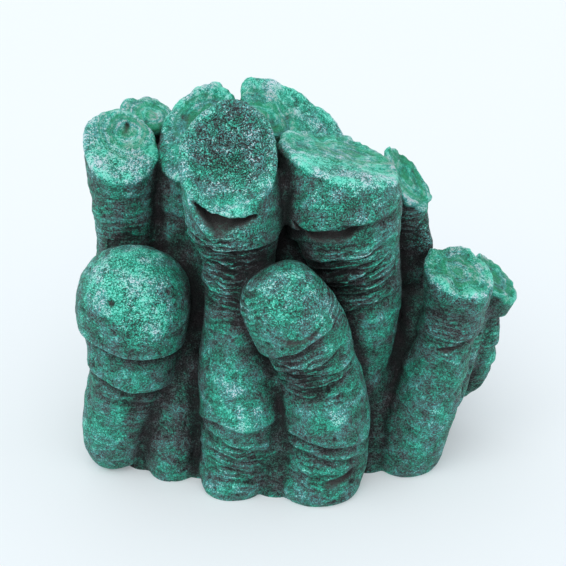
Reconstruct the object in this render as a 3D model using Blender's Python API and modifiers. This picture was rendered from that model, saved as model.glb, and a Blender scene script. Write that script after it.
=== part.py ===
"""A cluster of malachite stalactites, grown together into one hand-sized stone.

The stone is one solid. Each stalactite is a tube along its own centreline, with growth rims that overhang
a narrower shaft, and it ends in a rounded head or in a tilted broken face. The tubes are fused, roughened,
thinned to a few thousand triangles and cut off flat at the base, where the stone rests.

Sizes are in millimetres where a name says so, and in metres once they reach Blender.
"""

import math

import bmesh
import bpy
from mathutils import Vector

NAME = "malachite_cluster"
MM = 0.001

# The plan is drawn about the front row. This is the middle of its outline, which becomes the origin.
PLAN_MIDDLE_MM = Vector((0.4, -3.3, 0.0))

# Each stalactite, from its foot to its head, as stations of (x, y, height, radius) in millimetres.
#   rims: (height, depth) of each growth rim, under which the shaft is narrower by the depth
#   dome: how far the rounded head rises above the last station
#   face: (point, direction) of the plane of a broken top
#   foot: the height at which a foot that doesn't reach the base is rounded off
STALACTITES = {
    "knob": {
        "stations": [
            (-33.6, -10.2, 1.6, 5.0),
            (-34.6, -10.5, 5.0, 6.1),
            (-34.0, -11.0, 10.8, 6.9),
            (-32.4, -11.0, 16.4, 7.6),
            (-31.5, -11.5, 20.9, 8.2),
            (-30.8, -12.0, 25.8, 9.2),
            (-30.6, -12.0, 30.1, 10.2),
            (-30.4, -12.0, 35.0, 10.7),
            (-30.3, -12.0, 38.0, 10.5),
        ],
        "rims": [(20.7, 1.2), (28.8, 2.0)],
        "dome": 9.7,
        "foot": 1.3,
    },
    "slim_front": {
        "stations": [
            (-23.8, -13.2, -2.0, 5.0),
            (-23.8, -13.2, 3.0, 5.4),
            (-23.4, -12.2, 10.3, 5.3),
            (-22.6, -11.0, 16.4, 4.9),
            (-21.8, -8.0, 23.4, 4.7),
            (-21.4, -4.0, 32.0, 5.1),
            (-21.2, -1.0, 40.0, 5.0),
        ],
        "rims": [(13.0, 0.4)],
        "dome": 5.0,
    },
    "left_back": {
        "stations": [
            (-33.9, -1.0, -2.0, 5.9),
            (-32.8, 0.0, 23.2, 6.1),
            (-32.1, 1.0, 40.1, 6.0),
            (-32.1, 1.0, 46.5, 6.0),
            (-32.4, 1.5, 51.5, 6.2),
            (-32.8, 2.0, 57.0, 6.7),
            (-33.0, 2.0, 69.0, 6.9),
        ],
        "rims": [(52.3, 0.5), (47.5, 0.4)],
        "face": ((-33.0, 1.9, 62.0), (0.13, -0.47, 0.87)),
    },
    "left_bump": {
        "stations": [
            (-29.4, 12.0, -2.0, 5.4),
            (-28.8, 13.0, 30.0, 5.2),
            (-28.5, 13.5, 55.2, 5.0),
            (-28.6, 14.0, 70.0, 5.0),
        ],
        "rims": [(34.0, 0.6), (48.0, 0.5)],
        "face": ((-28.9, 14.3, 62.9), (0.19, -0.21, 0.96)),
    },
    "middle_left": {
        "stations": [
            (-20.9, -2.0, -2.0, 5.5),
            (-20.9, -1.0, 23.8, 5.7),
            (-21.0, 1.0, 40.1, 5.8),
            (-20.1, 3.0, 51.8, 6.4),
            (-18.9, 4.2, 59.1, 7.2),
            (-18.0, 4.9, 64.0, 7.6),
            (-17.6, 5.1, 67.5, 7.6),
        ],
        "rims": [(47.0, 0.7)],
        "face": ((-19.0, 6.0, 64.2), (-0.22, -0.54, 0.81)),
        "dome": 2.4,
    },
    "tall_front": {
        "stations": [
            (-11.9, -18.3, -2.0, 6.4),
            (-11.9, -18.1, 2.6, 7.0),
            (-10.8, -17.3, 9.0, 7.6),
            (-10.4, -17.0, 14.6, 8.1),
            (-10.7, -16.0, 20.6, 7.8),
            (-11.2, -15.0, 27.6, 6.9),
            (-11.3, -14.0, 34.5, 6.1),
            (-11.1, -13.0, 40.3, 6.3),
            (-10.9, -12.5, 45.7, 7.0),
            (-11.0, -12.0, 50.1, 7.9),
            (-11.5, -12.0, 56.3, 8.9),
            (-12.2, -12.0, 64.3, 9.2),
            (-12.4, -12.0, 71.6, 9.5),
        ],
        "rims": [(7.4, 0.6), (15.7, 1.1), (36.0, 0.5), (43.6, 1.0), (46.6, 1.0), (50.6, 1.2)],
        "face": ((-11.6, -11.6, 66.5), (-0.08, -0.60, 0.79)),
        "dome": 2.6,
    },
    "middle_front": {
        "stations": [
            (3.6, -18.6, -2.0, 7.8),
            (3.9, -18.6, 1.5, 8.6),
            (4.9, -18.5, 5.5, 8.2),
            (5.4, -18.5, 10.0, 8.0),
            (5.4, -18.5, 15.6, 8.1),
            (4.6, -18.5, 21.0, 7.9),
            (3.2, -19.0, 27.4, 7.8),
            (1.4, -20.0, 33.7, 8.7),
            (0.0, -21.0, 38.6, 9.4),
            (-0.7, -21.3, 41.0, 9.2),
        ],
        "rims": [(11.0, 1.0), (14.2, 1.1), (26.9, 0.9), (30.2, 0.8), (35.4, 1.6)],
        "dome": 6.6,
    },
    "broad_front": {
        "stations": [
            (10.7, -8.0, -2.0, 5.6),
            (10.6, -8.0, 7.8, 5.6),
            (11.2, -8.0, 16.8, 5.5),
            (12.1, -8.0, 25.6, 6.1),
            (12.3, -8.0, 34.3, 7.0),
            (11.3, -8.0, 40.7, 8.1),
            (9.7, -8.0, 46.0, 9.6),
            (8.5, -7.9, 51.0, 10.9),
            (8.0, -7.8, 54.5, 11.4),
            (7.4, -7.2, 58.0, 11.3),
            (6.9, -6.2, 61.2, 10.6),
            (6.4, -5.0, 64.4, 9.9),
            (6.2, -4.2, 70.0, 9.6),
        ],
        "rims": [(38.7, 1.0), (43.0, 1.0), (47.8, 1.5), (53.8, 1.5)],
        "face": ((8.9, -6.7, 62.8), (0.22, 0.08, 0.97)),
    },
    "left_peak": {
        "stations": [
            (-5.3, 9.0, -2.0, 6.0),
            (-4.9, 9.2, 45.1, 6.0),
            (-4.4, 9.2, 60.0, 6.3),
            (-4.4, 9.0, 71.0, 6.3),
        ],
        "rims": [(40.0, 0.6), (54.0, 0.5)],
        "face": ((-1.0, 12.0, 66.0), (0.42, -0.36, 0.83)),
    },
    "right_peak": {
        "stations": [
            (4.3, 7.0, -2.0, 5.6),
            (3.8, 7.4, 46.6, 5.9),
            (3.5, 7.6, 56.7, 6.0),
            (3.4, 7.6, 69.0, 6.0),
        ],
        "rims": [(36.0, 0.6), (50.0, 0.5)],
        "face": ((-1.0, 12.0, 66.0), (0.42, -0.36, 0.83)),
    },
    "peak_saddle": {
        "stations": [(-0.8, 9.5, -2.0, 5.5), (-0.9, 9.8, 50.0, 5.8), (-0.6, 9.4, 71.0, 6.2)],
        "rims": [(44.0, 0.6), (57.0, 0.4)],
        "face": ((-1.0, 12.0, 66.0), (0.42, -0.36, 0.83)),
    },
    "narrow_right": {
        "stations": [
            (20.5, 4.0, -2.0, 4.2),
            (20.8, 3.0, 21.4, 4.3),
            (21.1, 3.0, 36.8, 4.1),
            (21.2, 3.0, 42.0, 4.3),
            (20.9, 3.0, 46.5, 4.0),
            (20.8, 3.2, 50.7, 4.6),
            (20.6, 3.4, 64.0, 4.7),
        ],
        "rims": [(40.0, 0.5), (49.4, 0.9)],
        "face": ((20.5, 3.2, 54.4), (0.66, -0.29, 0.69)),
    },
    "hanging_drop": {
        "stations": [
            (24.0, 0.3, 40.7, 1.9),
            (23.8, 0.3, 42.5, 1.9),
            (23.3, 0.6, 45.0, 1.5),
            (22.4, 1.2, 48.5, 1.2),
        ],
        "rims": [],
        "dome": 1.0,
        "foot": 1.8,
    },
    "right_front": {
        "stations": [
            (20.9, -10.6, -2.0, 6.1),
            (21.4, -10.6, 2.6, 6.6),
            (23.1, -10.5, 9.4, 6.6),
            (25.2, -9.5, 17.7, 6.2),
            (27.5, -8.6, 24.8, 5.7),
            (29.2, -8.2, 32.2, 5.9),
            (29.8, -8.1, 37.5, 6.4),
            (30.0, -8.1, 52.0, 6.6),
        ],
        "rims": [(27.7, 0.7), (33.4, 0.5)],
        "face": ((29.6, -8.1, 40.9), (0.26, -0.19, 0.94)),
    },
    "right_spur": {
        "stations": [
            (32.8, 3.4, 8.4, 2.2),
            (34.2, 3.4, 11.2, 3.0),
            (35.2, 3.2, 15.0, 3.5),
            (35.7, 2.9, 20.3, 3.6),
            (36.5, 2.9, 25.0, 3.3),
            (37.4, 2.8, 28.6, 4.0),
            (37.9, 2.7, 31.5, 4.2),
            (38.2, 2.6, 42.0, 4.2),
        ],
        "rims": [(17.0, 0.4), (28.0, 0.6)],
        "face": ((38.0, 2.5, 33.4), (0.68, -0.17, 0.71)),
        "foot": 2.4,
    },
    "spur_root": {
        "stations": [(28.6, -2.5, 10.0, 3.8), (30.8, -0.6, 20.0, 4.4), (33.0, 0.4, 30.5, 4.2)],
        "rims": [],
        "dome": 3.5,
        "foot": 2.6,
    },
    "back_left": {
        "stations": [(-19.6, 14.0, -2.0, 6.6), (-19.0, 15.0, 30.0, 6.4), (-18.6, 15.6, 52.0, 6.8)],
        "rims": [(22.0, 0.6), (41.0, 0.8)],
        "dome": 6.4,
    },
    "back_middle": {
        "stations": [(-10.8, 16.2, -2.0, 6.0), (-11.4, 16.8, 24.0, 6.4), (-11.6, 17.0, 43.0, 6.9)],
        "rims": [(16.0, 0.5), (34.0, 0.9)],
        "dome": 6.8,
    },
    "back_slim": {
        "stations": [(-1.4, 17.4, -2.0, 5.2), (-1.0, 17.8, 20.0, 5.0), (-0.6, 17.6, 33.0, 5.4)],
        "rims": [(12.0, 0.5), (27.0, 0.7)],
        "dome": 5.2,
    },
    "back_right": {
        "stations": [(7.6, 14.8, -2.0, 6.2), (7.9, 15.6, 22.0, 6.0), (8.2, 15.8, 39.0, 6.5)],
        "rims": [(18.0, 0.6), (31.0, 0.8)],
        "dome": 6.2,
    },
    "back_far_right": {
        "stations": [(16.4, 9.6, -2.0, 5.6), (16.4, 10.4, 20.0, 5.3), (16.2, 10.6, 33.0, 5.6)],
        "rims": [(14.0, 0.5), (26.0, 0.7)],
        "dome": 5.4,
    },
    "back_stub": {
        "stations": [(25.2, 5.4, -2.0, 4.9), (25.8, 5.0, 12.0, 5.0), (26.4, 4.4, 21.0, 4.8)],
        "rims": [(9.0, 0.5)],
        "dome": 4.4,
    },
}

# Grown-over stone between the stalactites: behind the front row, and the webs in the creases at its foot.
FILLING = {
    "fill_left": [(-27.5, -1.0, -2.0, 8.0), (-26.0, 5.0, 46.0, 6.5)],
    "fill_middle_left": [(-14.0, -4.0, -2.0, 11.5), (-13.5, 2.0, 52.0, 9.0)],
    "fill_middle": [(-1.0, -6.0, -2.0, 12.0), (-1.5, 1.0, 50.0, 9.5)],
    "fill_right": [(11.0, -3.0, -2.0, 11.0), (11.0, 0.0, 44.0, 8.0)],
    "fill_far_right": [(20.5, -4.0, -2.0, 8.0), (24.0, -2.0, 32.0, 5.0)],
    "fill_back_left": [(-24.0, 8.0, -2.0, 7.0), (-23.5, 9.0, 47.0, 5.5)],
    "fill_back_middle": [(-7.0, 8.5, -2.0, 8.5), (-6.5, 9.5, 45.0, 6.5)],
    "fill_back_right": [(9.0, 6.5, -2.0, 8.5), (9.5, 7.5, 38.0, 6.0)],
    "behind_tall_head": [(-12.0, -6.0, 40.0, 5.0), (-12.0, -5.4, 66.4, 5.2)],
    "web_knob_slim": [(-28.6, -9.2, -2.0, 4.8), (-27.6, -7.0, 22.0, 4.0)],
    "web_slim_tall": [(-17.8, -11.8, -2.0, 5.2), (-17.0, -9.0, 24.0, 4.2)],
    "web_tall_middle": [(-3.7, -17.2, -2.0, 5.8), (-3.6, -14.8, 24.0, 4.6), (-4.6, -11.5, 36.0, 3.8)],
    "web_middle_right": [(13.2, -10.0, -2.0, 5.0), (14.2, -7.8, 20.0, 4.0)],
}

# Hollows under overhanging rims: centre, half sizes and turn about the line of sight from the front.
HOLLOWS = {
    "under_tall_lip": ((-13.4, -20.6, 56.5), (6.3, 4.8, 2.3), 8.0),
    "under_broad_lip": ((5.0, -18.6, 53.0), (6.0, 2.6, 1.0), -6.0),
    "under_middle_fold": ((7.3, -26.6, 4.8), (2.9, 1.8, 1.1), 0.0),
}

# The path of a tube, and how round the tube is.
STATION_SPACING_MM = 0.6
TUBE_ROUNDNESS = 8
WELD_MM = 0.002

# Below a rim the shaft comes back to its own radius over about this height.
RIM_RECOVERY_MM = 2.6

# Feet on the base are drawn in by this part of their radius, over about this height.
FOOT_NARROWING = 0.10
FOOT_HEIGHT_MM = 1.3

# Rounded ends: the number of stations, and the width at the very tip as a part of the radius.
DOME_STEPS = 9
TIP_WIDTH = 0.03

# Fusing the tubes: the size of a voxel, and the rounds of smoothing after it.
VOXEL_MM = 0.62
SOFTENING_ROUNDS = 2

# The rough surface: broad swells and small lumps, each with its depth and its size.
SWELL_MM = 1.3
SWELL_SIZE_MM = 9.0
LUMP_MM = 1.15
LUMP_SIZE_MM = 3.4

# Triangles that are left before the base is cut.
TRIANGLES = 9500

# Cutters: the box below the base, and the roundness of the hollows.
GROUND_BOX_MM = Vector((140.0, 120.0, 20.0))
HOLLOW_SEGMENTS = 24
HOLLOW_RINGS = 16

BASE_COLOR = (0.045, 0.190, 0.145, 1.0)
ROUGHNESS = 0.82


def clear_scene():
    for scene_object in list(bpy.data.objects):
        bpy.data.objects.remove(scene_object, do_unlink=True)


def new_collection(name):
    collection = bpy.data.collections.new(name)
    bpy.context.scene.collection.children.link(collection)
    return collection


def stone_material():
    material = bpy.data.materials.new("malachite")
    material.use_nodes = True
    principled = material.node_tree.nodes["Principled BSDF"]
    principled.inputs["Base Color"].default_value = BASE_COLOR
    principled.inputs["Roughness"].default_value = ROUGHNESS
    principled.inputs["Metallic"].default_value = 0.0
    return material


def between(a, b, c, d, t):
    """A Catmull-Rom curve from b to c, at t from 0 to 1."""
    bend = (2.0 * a - 5.0 * b + 4.0 * c - d) * t * t
    twist = (3.0 * (b - c) + d - a) * t * t * t
    return 0.5 * (2.0 * b + (c - a) * t + bend + twist)


def smooth_path(stations):
    """Stations every STATION_SPACING_MM along a smooth curve through the given ones."""
    padded = [stations[0]] + list(stations) + [stations[-1]]
    path = []
    for index in range(1, len(padded) - 2):
        a, b, c, d = padded[index - 1 : index + 3]
        length = math.dist(b[:3], c[:3])
        steps = max(1, round(length / STATION_SPACING_MM))
        for step in range(steps):
            path.append([between(*values, step / steps) for values in zip(a, b, c, d)])
    path.append(list(stations[-1]))
    return path


def under_rims(height, rims):
    """How much narrower the shaft is at this height, under the rims above it."""
    narrowing = 0.0
    for rim_height, depth in rims:
        if height < rim_height:
            narrowing += depth * math.exp((height - rim_height) / RIM_RECOVERY_MM)
    return narrowing


def rounded(part):
    """Rise and width of a rounded end, as parts of its height and its radius."""
    angle = 0.5 * math.pi * part
    return math.sin(angle), max(math.cos(angle), TIP_WIDTH)


def stalactite_path(shape):
    """The centreline of one stalactite with the radius of its shaft, rims, foot and head."""
    path = smooth_path(shape["stations"])
    foot = shape.get("foot")
    for station in path:
        station[3] -= under_rims(station[2], shape["rims"])
        if foot is None:
            station[3] *= 1.0 - FOOT_NARROWING * math.exp(-max(station[2], 0.0) / FOOT_HEIGHT_MM)
    if foot is not None:
        x, y, height, radius = path[0]
        ends = [rounded(step / DOME_STEPS) for step in range(DOME_STEPS, 0, -1)]
        path = [[x, y, height - foot * rise, radius * width] for rise, width in ends] + path
    if "dome" in shape:
        x, y, height, radius = path[-1]
        ends = [rounded(step / DOME_STEPS) for step in range(1, DOME_STEPS + 1)]
        path += [[x, y, height + shape["dome"] * rise, radius * width] for rise, width in ends]
    return path


def tube(name, path, collection):
    """A closed mesh tube along a path of (x, y, height, radius) stations."""
    curve = bpy.data.curves.new(name, "CURVE")
    curve.dimensions = "3D"
    curve.bevel_depth = MM
    curve.bevel_resolution = TUBE_ROUNDNESS
    curve.use_fill_caps = True
    spline = curve.splines.new("POLY")
    spline.points.add(len(path) - 1)
    for point, (x, y, height, radius) in zip(spline.points, path):
        point.co = (x * MM, y * MM, height * MM, 1.0)
        point.radius = radius
    curve_object = bpy.data.objects.new(name + "_curve", curve)
    collection.objects.link(curve_object)
    evaluated = curve_object.evaluated_get(bpy.context.evaluated_depsgraph_get())
    mesh = bpy.data.meshes.new_from_object(evaluated)
    tube_object = bpy.data.objects.new(name, mesh)
    tube_object.matrix_world = curve_object.matrix_world
    collection.objects.link(tube_object)
    bpy.data.objects.remove(curve_object, do_unlink=True)
    edit = bmesh.new()
    edit.from_mesh(mesh)
    bmesh.ops.remove_doubles(edit, verts=edit.verts, dist=WELD_MM * MM)
    edit.to_mesh(mesh)
    edit.free()
    return tube_object


def break_top(tube_object, face):
    """Break a stalactite off along a tilted plane."""
    point, direction = face
    edit = bmesh.new()
    edit.from_mesh(tube_object.data)
    bmesh.ops.bisect_plane(
        edit,
        geom=edit.verts[:] + edit.edges[:] + edit.faces[:],
        plane_co=Vector(point) * MM,
        plane_no=Vector(direction),
        clear_outer=True,
    )
    open_edges = [edge for edge in edit.edges if edge.is_boundary]
    bmesh.ops.holes_fill(edit, edges=open_edges)
    edit.to_mesh(tube_object.data)
    edit.free()


def joined(pieces, name, collection):
    """One object that holds the meshes of all the pieces."""
    edit = bmesh.new()
    for piece in pieces:
        edit.from_mesh(piece.data)
    mesh = bpy.data.meshes.new(name)
    edit.to_mesh(mesh)
    edit.free()
    for piece in pieces:
        bpy.data.objects.remove(piece, do_unlink=True)
    whole = bpy.data.objects.new(name, mesh)
    collection.objects.link(whole)
    return whole


def apply_modifiers(target):
    """Bake the object's modifiers into its mesh."""
    evaluated = target.evaluated_get(bpy.context.evaluated_depsgraph_get())
    unmodified = target.data
    target.data = bpy.data.meshes.new_from_object(evaluated)
    target.modifiers.clear()
    bpy.data.meshes.remove(unmodified)


def add_roughness(target, name, size_mm, depth_mm):
    """Push the surface in and out by a soft noise of the given size."""
    texture = bpy.data.textures.new(name, "CLOUDS")
    texture.noise_scale = size_mm * MM
    texture.noise_depth = 1
    displace = target.modifiers.new(name, "DISPLACE")
    displace.texture = texture
    displace.texture_coords = "LOCAL"
    displace.mid_level = 0.5
    displace.strength = depth_mm * MM


def keep_outer_skin(target):
    """Delete the small closed skins around pockets that the fusing left inside."""
    edit = bmesh.new()
    edit.from_mesh(target.data)
    remaining = set(edit.verts)
    skins = []
    while remaining:
        seed = remaining.pop()
        skin = {seed}
        edge_of_skin = [seed]
        while edge_of_skin:
            vertex = edge_of_skin.pop()
            for edge in vertex.link_edges:
                neighbour = edge.other_vert(vertex)
                if neighbour in remaining:
                    remaining.remove(neighbour)
                    skin.add(neighbour)
                    edge_of_skin.append(neighbour)
        skins.append(skin)
    skins.sort(key=len)
    for skin in skins[:-1]:
        bmesh.ops.delete(edit, geom=list(skin), context="VERTS")
    edit.to_mesh(target.data)
    edit.free()


def hollow_cutter(name, hollow, collection):
    """A flattened ball that cuts the hollow under an overhanging rim."""
    centre, half_sizes, turn = hollow
    bpy.ops.mesh.primitive_uv_sphere_add(segments=HOLLOW_SEGMENTS, ring_count=HOLLOW_RINGS, radius=MM)
    cutter = bpy.context.active_object
    cutter.name = name
    cutter.location = Vector(centre) * MM
    cutter.scale = half_sizes
    cutter.rotation_euler = (0.0, math.radians(turn), 0.0)
    set_aside(cutter, collection)
    return cutter


def ground_cutter(collection):
    """A box whose top is the flat base of the stone."""
    bpy.ops.mesh.primitive_cube_add(size=MM, location=(0.0, 0.0, -0.5 * GROUND_BOX_MM.z * MM))
    cutter = bpy.context.active_object
    cutter.name = "ground_cutter"
    cutter.scale = GROUND_BOX_MM
    set_aside(cutter, collection)
    return cutter


def set_aside(cutter, collection):
    """Keep a cutter in its own collection, out of the render."""
    for holder in list(cutter.users_collection):
        holder.objects.unlink(cutter)
    collection.objects.link(cutter)
    cutter.hide_render = True
    cutter.display_type = "WIRE"


def cut_away(target, cutter):
    """Subtract the cutter from the target."""
    boolean = target.modifiers.new(cutter.name, "BOOLEAN")
    boolean.operation = "DIFFERENCE"
    boolean.solver = "EXACT"
    boolean.object = cutter


def move_to_origin(target):
    """Put the middle of the plan on the origin, with the heights as they are."""
    for vertex in target.data.vertices:
        vertex.co -= PLAN_MIDDLE_MM * MM


def thin_out(target):
    """Take away triangles where the surface is plain, down to the number wanted."""
    triangles = sum(len(polygon.vertices) - 2 for polygon in target.data.polygons)
    decimate = target.modifiers.new("thin_out", "DECIMATE")
    decimate.ratio = min(1.0, TRIANGLES / triangles)


def build():
    clear_scene()
    stone_collection = new_collection(NAME)
    cutter_collection = new_collection("cutters")

    pieces = []
    for name, shape in STALACTITES.items():
        stalactite = tube(name, stalactite_path(shape), stone_collection)
        if "face" in shape:
            break_top(stalactite, shape["face"])
        pieces.append(stalactite)
    for name, stations in FILLING.items():
        pieces.append(tube(name, smooth_path(stations), stone_collection))
    stone = joined(pieces, NAME, stone_collection)

    remesh = stone.modifiers.new("fuse", "REMESH")
    remesh.mode = "VOXEL"
    remesh.voxel_size = VOXEL_MM * MM
    smooth = stone.modifiers.new("soften", "SMOOTH")
    smooth.iterations = SOFTENING_ROUNDS
    add_roughness(stone, "swell", SWELL_SIZE_MM, SWELL_MM)
    add_roughness(stone, "lumps", LUMP_SIZE_MM, LUMP_MM)
    apply_modifiers(stone)
    keep_outer_skin(stone)

    for name, hollow in HOLLOWS.items():
        cut_away(stone, hollow_cutter(name, hollow, cutter_collection))
    apply_modifiers(stone)

    thin_out(stone)
    apply_modifiers(stone)
    cut_away(stone, ground_cutter(cutter_collection))
    apply_modifiers(stone)
    move_to_origin(stone)

    stone.data.name = NAME
    stone.data.materials.clear()
    stone.data.materials.append(stone_material())


build()
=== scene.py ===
# %% [markdown]
# # A cluster of malachite stalactites
#
# The real thing is one hand-sized stone. Copper-rich water ran down it for a very long time and left
# needle-fine malachite crystals in layer upon layer, so each stalactite is a finger of concentric shells with
# growth rims like stacked folds. Some fingers end in a smooth knob. Others are snapped off, and the break
# shows lighter green rings.
#
# The plan of this lesson: loft each finger from named sizes, fuse the fingers into one skin, add the relief
# that is too fine for the solid model, then give the skin one stone material that knows where it is on the
# stone.

# %% Load the fixed frame
import math

import bmesh
import bpy
import numpy as np
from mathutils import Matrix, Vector
from mathutils.bvhtree import BVHTree
from mathutils.kdtree import KDTree


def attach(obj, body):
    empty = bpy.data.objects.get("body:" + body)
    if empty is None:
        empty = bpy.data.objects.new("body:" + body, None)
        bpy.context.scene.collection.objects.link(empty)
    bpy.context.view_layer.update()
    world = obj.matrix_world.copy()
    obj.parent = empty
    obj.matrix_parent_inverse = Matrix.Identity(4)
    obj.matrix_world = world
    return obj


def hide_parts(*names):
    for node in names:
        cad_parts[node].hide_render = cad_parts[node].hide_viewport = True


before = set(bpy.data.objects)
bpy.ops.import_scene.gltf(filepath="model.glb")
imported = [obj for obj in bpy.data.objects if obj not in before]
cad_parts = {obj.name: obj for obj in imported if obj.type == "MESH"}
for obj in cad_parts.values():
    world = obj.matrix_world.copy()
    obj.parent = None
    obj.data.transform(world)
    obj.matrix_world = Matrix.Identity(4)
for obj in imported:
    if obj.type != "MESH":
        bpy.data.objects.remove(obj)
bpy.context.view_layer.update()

# %% [markdown]
# ## The fingers
#
# A finger is a tube along its own centreline. The sizes are in millimetres on the plan of the stone: x to the
# right, y away from the front, then the height and the radius. They are nearly the stations of the solid
# model, so the finished skin lies over it. Curve objects could carry them too, but a table of numbers is
# easier to set against a stone and to change. A finger can have:
#
# - `rims`: where a growth layer ends and overhangs the one below, as height, overhang, and slope down
#   towards +x
# - `folds`: thin rims packed between two heights, as lowest, highest, spacing, depth and slope
# - `strongest`: the side on which its rims are strongest, in degrees from +x, with the front at -90
# - `dome`: a rounded top this high, and `foot`: a rounded foot this deep
# - `face`: a broken top instead of a rounded one, as a point on its plane and the plane's direction
# - `dish`, `edge` and `ragged`: how far the break sinks in the middle, how rounded its edge is, and how uneven
# - `overgrown`: the share of the break that is hidden by young crystals
# - `plain`: a filling or a rope, with no folds or faint rims

# %% Units and the plan's middle
MM = 0.001
PLAN_MIDDLE = np.array([0.4, -3.3, 0.0])
FINGERS = {}
print("the plan's middle is at", PLAN_MIDDLE, "mm")

# %% Fingers at the left
FINGERS |= {
    "knob": {
        "stations": [
            (-33.6, -10.2, 1.6, 5.0), (-34.6, -10.5, 5.0, 6.1), (-34.0, -11.0, 10.8, 6.9),
            (-32.4, -11.0, 16.4, 7.6), (-31.5, -11.5, 20.9, 8.1), (-30.8, -12.0, 25.8, 8.8),
            (-30.6, -12.0, 30.1, 9.7), (-30.4, -12.0, 35.0, 10.7), (-30.3, -12.0, 38.0, 10.5),
        ],
        "rims": [(18.2, 0.4, 0.1), (21.3, 1.1, 0.1), (28.4, 1.4, 0.1)],
        "folds": [(2.0, 24.0, 2.2, 0.18, 0.0)],
        "strongest": -95.0, "dome": 8.4, "foot": 1.3,
    },
    "slim_front": {
        "stations": [
            (-23.8, -13.2, -2.0, 5.0), (-23.8, -13.2, 3.0, 5.4), (-23.4, -12.2, 10.3, 5.3),
            (-22.6, -11.0, 16.4, 4.9), (-21.8, -8.0, 23.4, 4.7), (-21.4, -4.0, 32.0, 5.1),
            (-21.2, -1.0, 40.0, 5.0),
        ],
        "rims": [(13.0, 0.4, 0.2)],
        "dome": 5.0,
    },
    "left_back": {
        "stations": [
            (-33.9, -1.0, -2.0, 5.9), (-32.8, 0.0, 23.2, 6.1), (-32.1, 1.0, 40.1, 6.0),
            (-32.1, 1.0, 46.5, 6.0), (-32.4, 1.5, 51.5, 6.2), (-32.8, 2.0, 57.0, 6.7),
            (-33.0, 2.0, 73.0, 6.9),
        ],
        "rims": [(47.5, 0.2, 0.1), (52.3, 0.35, 0.1), (55.4, 0.15, 0.1)],
        "folds": [(36.0, 58.0, 2.2, 0.18, 0.0)],
        "face": ((-33.0, 1.9, 61.6), (0.13, -0.47, 0.87)),
        "dish": 0.5,
    },
    "left_bump": {
        "stations": [
            (-29.4, 12.0, -2.0, 5.4), (-28.8, 13.0, 30.0, 5.2), (-28.5, 13.5, 55.2, 5.0),
            (-28.6, 14.0, 70.0, 5.0),
        ],
        "rims": [(34.0, 0.36, 0.1), (48.0, 0.3, -0.1)],
        "face": ((-28.9, 14.3, 62.9), (0.19, -0.21, 0.96)),
        "dish": -0.4,
    },
    "middle_left": {
        "stations": [
            (-20.9, -2.0, -2.0, 5.5), (-20.9, -1.0, 23.8, 5.7), (-21.0, 1.0, 40.1, 5.8),
            (-20.1, 3.0, 51.8, 6.4), (-18.9, 4.2, 59.1, 7.2), (-18.0, 4.9, 64.0, 7.6),
            (-17.6, 5.1, 82.0, 7.8),
        ],
        "rims": [(42.0, 0.3, 0.1), (47.0, 0.42, 0.1), (53.0, 0.3, 0.2)],
        "face": ((-19.0, 6.0, 64.2), (-0.22, -0.54, 0.81)),
        "dish": 0.4, "edge": 1.6,
    },
}
print(len(FINGERS), "fingers so far")

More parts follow.
